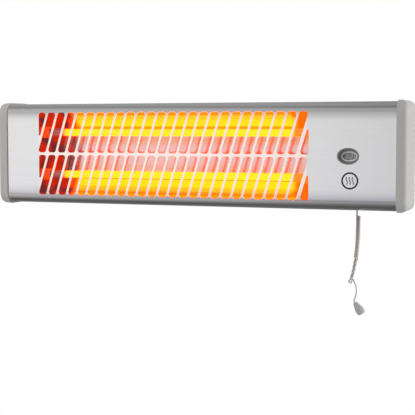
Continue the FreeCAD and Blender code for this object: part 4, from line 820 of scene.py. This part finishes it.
def screwTree():
    tree = bpy.data.node_groups.new("panHeadScrews", "GeometryNodeTree")
    kinds = {"Geometry": "Geometry", **dict.fromkeys([*sizeInputs, "Shank Length"], "Float"),
             "Seed": "Int", "Finish": "Material"}
    for label, kind in kinds.items():
        tree.interface.new_socket(label, in_out="INPUT", socket_type="NodeSocket" + kind)
    tree.interface.new_socket("Geometry", in_out="OUTPUT", socket_type="NodeSocketGeometry")
    board = Board(tree)
    entry = tree.nodes.new("NodeGroupInput")
    given = {socket.name: Wire(board, socket) for socket in entry.outputs if socket.name}
    vector = lambda x, y, z: board.node("ShaderNodeCombineXYZ", None, {0: x, 1: y, 2: z})
    moved = lambda shape, spot, turn=(0.0, 0.0, 0.0): board.node("GeometryNodeTransform", None, {
        "Geometry": shape, "Translation": spot, "Rotation": turn})
    head, thick = given["Head Radius"], given["Head Height"]
    rim = board.node("GeometryNodeMeshCylinder", {"fill_type": "NGON"}, {
        "Vertices": panHead["sides"], "Radius": head, "Depth": thick * 0.5})
    crown = board.node("GeometryNodeMeshCone", {"fill_type": "NGON"}, {
        "Vertices": panHead["sides"], "Radius Top": head * panHead["crown"], "Radius Bottom": head,
        "Depth": thick * 0.5})
    shank = board.node("GeometryNodeMeshCylinder", {"fill_type": "NGON"}, {
        "Vertices": panHead["shankSides"], "Radius": given["Shank Radius"], "Depth": given["Shank Length"]})
    blank = board.node("GeometryNodeMeshBoolean", {"operation": "UNION"}, {
        "Mesh 2": [moved(rim, vector(0.0, 0.0, thick * 0.25)), moved(crown, vector(0.0, 0.0, thick * 0.5)),
                   moved(shank, vector(0.0, 0.0, given["Shank Length"] * -0.5 + thick * panHead["sunk"]))]})
    blade = board.node("GeometryNodeMeshCube", None, {
        "Size": vector(head * panHead["blade"], given["Recess Width"], given["Recess Depth"] * 2.0)})
    atTop = vector(0.0, 0.0, thick)
    screw = board.node("GeometryNodeMeshBoolean", {"operation": "DIFFERENCE"}, {
        "Mesh 1": blank, "Mesh 2": [moved(blade, atTop), moved(blade, atTop, (0.0, 0.0, math.pi / 2))]})
    spin = board.node("FunctionNodeRandomValue", {"data_type": "FLOAT"}, {
        2: 0.0, 3: math.pi, "Seed": given["Seed"]}, out=1)
    facing = board.node("FunctionNodeEulerToRotation", None, {0: (-math.pi / 2, 0.0, 0.0)})
    turned = board.node("FunctionNodeRotateRotation", {"rotation_space": "LOCAL"}, {
        0: facing, 1: board.node("FunctionNodeEulerToRotation", None, {0: vector(0.0, 0.0, spin)})})
    points = board.node("GeometryNodeMeshToPoints", None, {"Mesh": given["Geometry"]})
    placed = board.node("GeometryNodeInstanceOnPoints", None, {
        "Points": points, "Instance": screw, "Rotation": turned})
    real = board.node("GeometryNodeRealizeInstances", None, {"Geometry": placed})
    coated = board.node("GeometryNodeSetMaterial", None, {"Geometry": real, "Material": given["Finish"]})
    leave = tree.nodes.new("NodeGroupOutput")
    tree.links.new(coated.socket, leave.inputs[0])
    return tree


def setInput(modifier, label, value):
    for item in modifier.node_group.interface.items_tree:
        if item.item_type == "SOCKET" and item.in_out == "INPUT" and item.name == label:
            modifier[item.identifier] = value


def makeFasteners(name, tree, seed):
    boxes = islandBoxes(fasteners[name])
    thick = panHead["thick"] * mm
    seats = bpy.data.meshes.new(name + "Seats")
    spots = [((low.x + high.x) / 2, high.y - thick, (low.z + high.z) / 2) for low, high in boxes]
    seats.from_pydata(spots, [], [])
    holder = newObject(name + "Seats", seats)
    modifier = holder.modifiers.new("screws", "NODES")
    modifier.node_group = tree
    low, high = boxes[0]
    values = {label: panHead[key] * mm for label, key in sizeInputs.items()}
    values["Shank Length"] = high.y - low.y - thick * (1 - panHead["sunk"])
    values.update({"Seed": seed, "Finish": finishes["brightSteel"]})
    for label, value in values.items():
        setInput(modifier, label, value)
    ready = holder.evaluated_get(bpy.context.evaluated_depsgraph_get())
    mesh = bpy.data.meshes.new_from_object(ready)
    bpy.data.objects.remove(holder)
    mesh.name = name
    return newObject(name, mesh)


tree = screwTree()
screwSets = {}
for seed, name in enumerate(fasteners):
    screwSets[name] = makeFasteners(name, tree, seed)
    print("fasteners:", name, len(screwSets[name].data.polygons), "faces")


# plain numerals on the drum's six flats

numerals = {"signs": "012012", "height": 7.0, "thick": 0.12, "flat": 10.0}


def textMesh(sign, height, thick):
    curve = bpy.data.curves.new("sign", "FONT")
    curve.body = sign
    curve.size = height
    curve.extrude = thick
    curve.align_x = "CENTER"
    curve.align_y = "CENTER"
    holder = newObject("sign", curve)
    bpy.context.view_layer.update()
    mesh = bpy.data.meshes.new_from_object(holder.evaluated_get(bpy.context.evaluated_depsgraph_get()))
    bpy.data.objects.remove(holder)
    return mesh


def drumNumerals():
    low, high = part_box("indicator_drum")
    centre = (low + high) / 2
    whole = bmesh.new()
    for index, sign in enumerate(numerals["signs"]):
        mesh = textMesh(sign, numerals["height"] * mm, numerals["thick"] * mm)
        upright = Matrix.Rotation(math.pi / 2, 4, "X")
        outward = Matrix.Translation((0, -numerals["flat"] * mm, 0))
        roll = Matrix.Rotation(2 * math.pi * index / len(numerals["signs"]), 4, "X")
        mesh.transform(Matrix.Translation(centre) @ roll @ outward @ upright)
        whole.from_mesh(mesh)
        bpy.data.meshes.remove(mesh)
    bmesh.ops.remove_doubles(whole, verts=whole.verts, dist=1e-7)
    return newObject("drumNumerals", closedMesh("drumNumerals", whole, "printInk"))


drumMarks = drumNumerals()


# printed ring under the window, with three plain heat waves in it

printedSign = {
    "x": 204.0, "z": -29.2, "outer": 10.3, "stroke": 2.0, "proud": 0.04, "ringSteps": 72,
    "waves": 3, "waveGap": 3.6, "waveHeight": 9.0, "waveSwing": 0.8, "waveStroke": 1.0,
    "waveSteps": 20}


def ribbon(shape, centreLine, stroke, y, closed):
    rows = []
    count = len(centreLine)
    for index, spot in enumerate(centreLine):
        before = centreLine[(index - 1) % count] if closed or index else spot
        after = centreLine[(index + 1) % count] if closed or index < count - 1 else spot
        way = (after - before).normalized()
        out = Vector((way.y, -way.x)) * stroke / 2
        rows.append([shape.verts.new((edge.x * mm, y, edge.y * mm)) for edge in (spot + out, spot - out)])
    pairs = list(zip(rows, rows[1:])) + ([(rows[-1], rows[0])] if closed else [])
    for first, second in pairs:
        shape.faces.new((first[0], first[1], second[1], second[0]))


def makePrintedSign():
    s = printedSign
    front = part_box("front_casing")[0].y - s["proud"] * mm
    shape = bmesh.new()
    middle = s["outer"] - s["stroke"] / 2
    ringLine = [Vector((s["x"] + middle * math.cos(turn), s["z"] + middle * math.sin(turn)))
                for turn in circle(s["ringSteps"])]
    ribbon(shape, ringLine, s["stroke"], front, True)
    for wave in range(s["waves"]):
        x = s["x"] + (wave - (s["waves"] - 1) / 2) * s["waveGap"]
        line = []
        for step in range(s["waveSteps"] + 1):
            share = step / s["waveSteps"]
            swing = s["waveSwing"] * math.sin(2 * math.pi * share)
            line.append(Vector((x + swing, s["z"] + s["waveHeight"] * (share - 0.5))))
        ribbon(shape, line, s["waveStroke"], front, False)
    walls = bmesh.ops.extrude_face_region(shape, geom=shape.faces[:])
    behind = [item for item in walls["geom"] if isinstance(item, bmesh.types.BMVert)]
    bmesh.ops.translate(shape, verts=behind, vec=(0, s["proud"] * mm, 0))
    return newObject("printedSign", closedMesh("printedSign", shape, "printInk"))


sign = makePrintedSign()
print("marks: drum numerals and printed ring")


# moulded lip round the lens, half sunk in the bezel's funnel; its pale tone and off-centre shift paint the
# highlight on the funnel's rim

lipShape = {"wide": 9.5, "high": 5.6, "shift": (0.5, -0.4), "y": -91.25, "stroke": 1.15, "sides": 12,
            "steps": 96}


def makeWindowLip():
    s = lipShape
    low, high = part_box("window_lens")
    centre = Vector(((low.x + high.x) / 2, s["y"] * mm, (low.z + high.z) / 2))
    centre += Vector((s["shift"][0], 0, s["shift"][1])) * mm
    inward = Vector((0, 1, 0))
    stroke = s["stroke"] * mm
    shape = bmesh.new()
    rings = []
    for angle in circle(s["steps"]):
        spot = centre + Vector((s["wide"] * math.cos(angle), 0, s["high"] * math.sin(angle))) * mm
        out = Vector((s["high"] * math.cos(angle), 0, s["wide"] * math.sin(angle))).normalized()
        rings.append([shape.verts.new(spot + (out * math.cos(turn) + inward * math.sin(turn)) * stroke)
                      for turn in circle(s["sides"])])
    bridge(shape, rings + rings[:1])
    return newObject("windowLip", closedMesh("windowLip", shape, "lipHighlightPlastic"))


lip = makeWindowLip()
print("window: lip round the lens")


# what rides on what

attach(pullCord, "hanging_cord")
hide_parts("cord_drop", "cord_hank", "cord_tail")
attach(knob, "hanging_cord")
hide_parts("pull_knob")
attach(cordLead, "pull")
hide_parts("cord_lead")
for name, piece in screwSets.items():
    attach(piece, "heater_body")
    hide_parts(fasteners[name])
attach(drumMarks, "indicator")
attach(lip, "heater_body")
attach(sign, "heater_body")


# studio: white to the camera, a soft horizon for the metal to mirror, pale floor far below

studio = {
    "fill": 0.45, "floorZ": -1.2, "floorSize": 14.0, "floorTone": (0.8, 0.8, 0.8), "floorRough": 0.9,
    "lean": (-0.5, -0.2, 0.0, 0.45), "sides": (-0.36, -0.22), "level": (-0.27, -0.15, 1.11, 0.83),
    "key": {"place": (-1.3, -1.3, 0.9), "size": 1.4, "power": 25.0, "tone": (1.0, 0.98, 0.965)},
    "side": {"place": (2.2, 0.15, 0.5), "size": 1.2, "power": 48.0, "tone": (0.94, 0.98, 1.0)},
    "rear": {"place": (-0.2, 1.9, 0.7), "size": 1.4, "power": 34.0, "tone": (1.0, 1.0, 1.0)}}
# what the metal mirrors, by angle in degrees up from the room's horizon: over the top to the wall behind
horizon = {
    "right": [(-180, 0.30), (-140, 0.19), (-100, 0.10), (-62, 0.13), (-39, 0.26), (-22, (0.42, 0.415, 0.45)),
              (-11, (0.58, 0.57, 0.64)), (-4, (0.83, 0.83, 0.845)), (5, 0.86), (9, 0.60), (14, 0.50),
              (59, 0.38), (74, 0.22), (108, 0.24), (118, 0.34), (180, 0.30)],
    "left": [(-180, 0.30), (-140, 0.19), (-100, 0.09), (-78, 0.10), (-62, (0.25, 0.24, 0.24)),
             (-50, (0.36, 0.345, 0.35)), (-39, (0.42, 0.40, 0.41)), (-22, (0.50, 0.485, 0.51)),
             (-11, (0.66, 0.65, 0.70)), (-4, (0.84, 0.84, 0.85)), (5, 0.86), (9, 0.60), (14, 0.50),
             (59, 0.40), (74, 0.25), (108, 0.27), (118, 0.33), (180, 0.30)]}


def makeWorld():
    world = bpy.data.worlds.new("studio")
    scene.world = world
    world.use_nodes = True
    board = Board(world.node_tree)
    board.tree.nodes.clear()
    way = board.node("ShaderNodeTexCoord", out="Generated")
    x, y, z = [board.node("ShaderNodeSeparateXYZ", None, {0: way}, out=letter) for letter in "XYZ"]
    angle = z.math("ARCTAN2", z, -y) / (2 * math.pi)
    lean = board.between(x, *studio["lean"])  # the dark band comes down towards the right
    angle = angle + angle.math("MAXIMUM", angle, 0.0) * lean + 0.5
    bands = []
    for side in ("left", "right"):
        stops = [((degrees + 180) / 360, tone) for degrees, tone in horizon[side]]
        bands.append(board.node("ShaderNodeValToRGB", {"stops": stops}, {0: angle}))
    band = board.blend(board.between(x, *studio["sides"]), *bands)
    level = board.between(x, *studio["level"])  # the room is paler on the left
    ray = {name: board.node("ShaderNodeLightPath", out=name)
           for name in ("Is Camera Ray", "Is Glossy Ray", "Is Transmission Ray")}
    shown = ray["Is Camera Ray"].math("MAXIMUM", ray["Is Camera Ray"], ray["Is Transmission Ray"])
    glossy = ray["Is Glossy Ray"]
    strength = shown + (1 - shown) * (glossy * level + (1 - glossy) * studio["fill"])
    tone = board.blend(glossy * (1 - shown), (1.0, 1.0, 1.0), band)
    sky = board.node("ShaderNodeBackground", None, {"Color": tone, "Strength": strength})
    board.node("ShaderNodeOutputWorld", None, {"Surface": sky})


def makeFloor():
    half = studio["floorSize"] / 2
    corners = [(x * half, y * half, studio["floorZ"]) for x, y in ((-1, -1), (1, -1), (1, 1), (-1, 1))]
    mesh = bpy.data.meshes.new("floor")
    mesh.from_pydata(corners, [], [(0, 1, 2, 3)])
    floor = newObject("floor", mesh)
    finish = Finish("paleFloor", tone=studio["floorTone"], rough=studio["floorRough"])
    ray = finish.node("ShaderNodeLightPath", out="Is Camera Ray")
    white = finish.node("ShaderNodeEmission", None, {"Color": (1.0, 1.0, 1.0, 1.0), "Strength": 1.0})
    lit = Wire(finish, finish.shader.outputs[0])
    mixed = finish.node("ShaderNodeMixShader", None, {0: ray, 1: lit, 2: white})
    finish.feed(finish.tree.nodes["Material Output"].inputs[0], mixed)
    mesh.materials.append(finish.material)
    floor.visible_glossy = False


def makeLamp(name):
    look = studio[name]
    lamp = bpy.data.lights.new(name, "AREA")
    lamp.size = look["size"]
    lamp.energy = look["power"]
    lamp.color = look["tone"]
    holder = newObject(name, lamp)
    holder.location = look["place"]
    holder.rotation_euler = (-Vector(look["place"])).to_track_quat("-Z", "Y").to_euler()
    holder.visible_glossy = False


shot = {"lens": 93.86, "sensor": 36.0, "far": 50.0, "place": (0.48475, -1.36093, 0.03274),
        "target": (0.02423, -0.097, -0.06534)}


def makeCamera():
    camera = bpy.data.cameras.new("camera")
    camera.lens = shot["lens"]
    camera.sensor_width = shot["sensor"]
    camera.clip_end = shot["far"]
    holder = newObject("camera", camera)
    holder.location = shot["place"]
    aim = Vector(shot["target"]) - Vector(shot["place"])
    holder.rotation_euler = aim.to_track_quat("-Z", "Y").to_euler()
    scene.camera = holder


makeWorld()
makeFloor()
for lampName in ("key", "side", "rear"):
    makeLamp(lampName)
makeCamera()
scene.view_settings.view_transform = "Standard"
print("studio: world, floor, three lamps, camera")
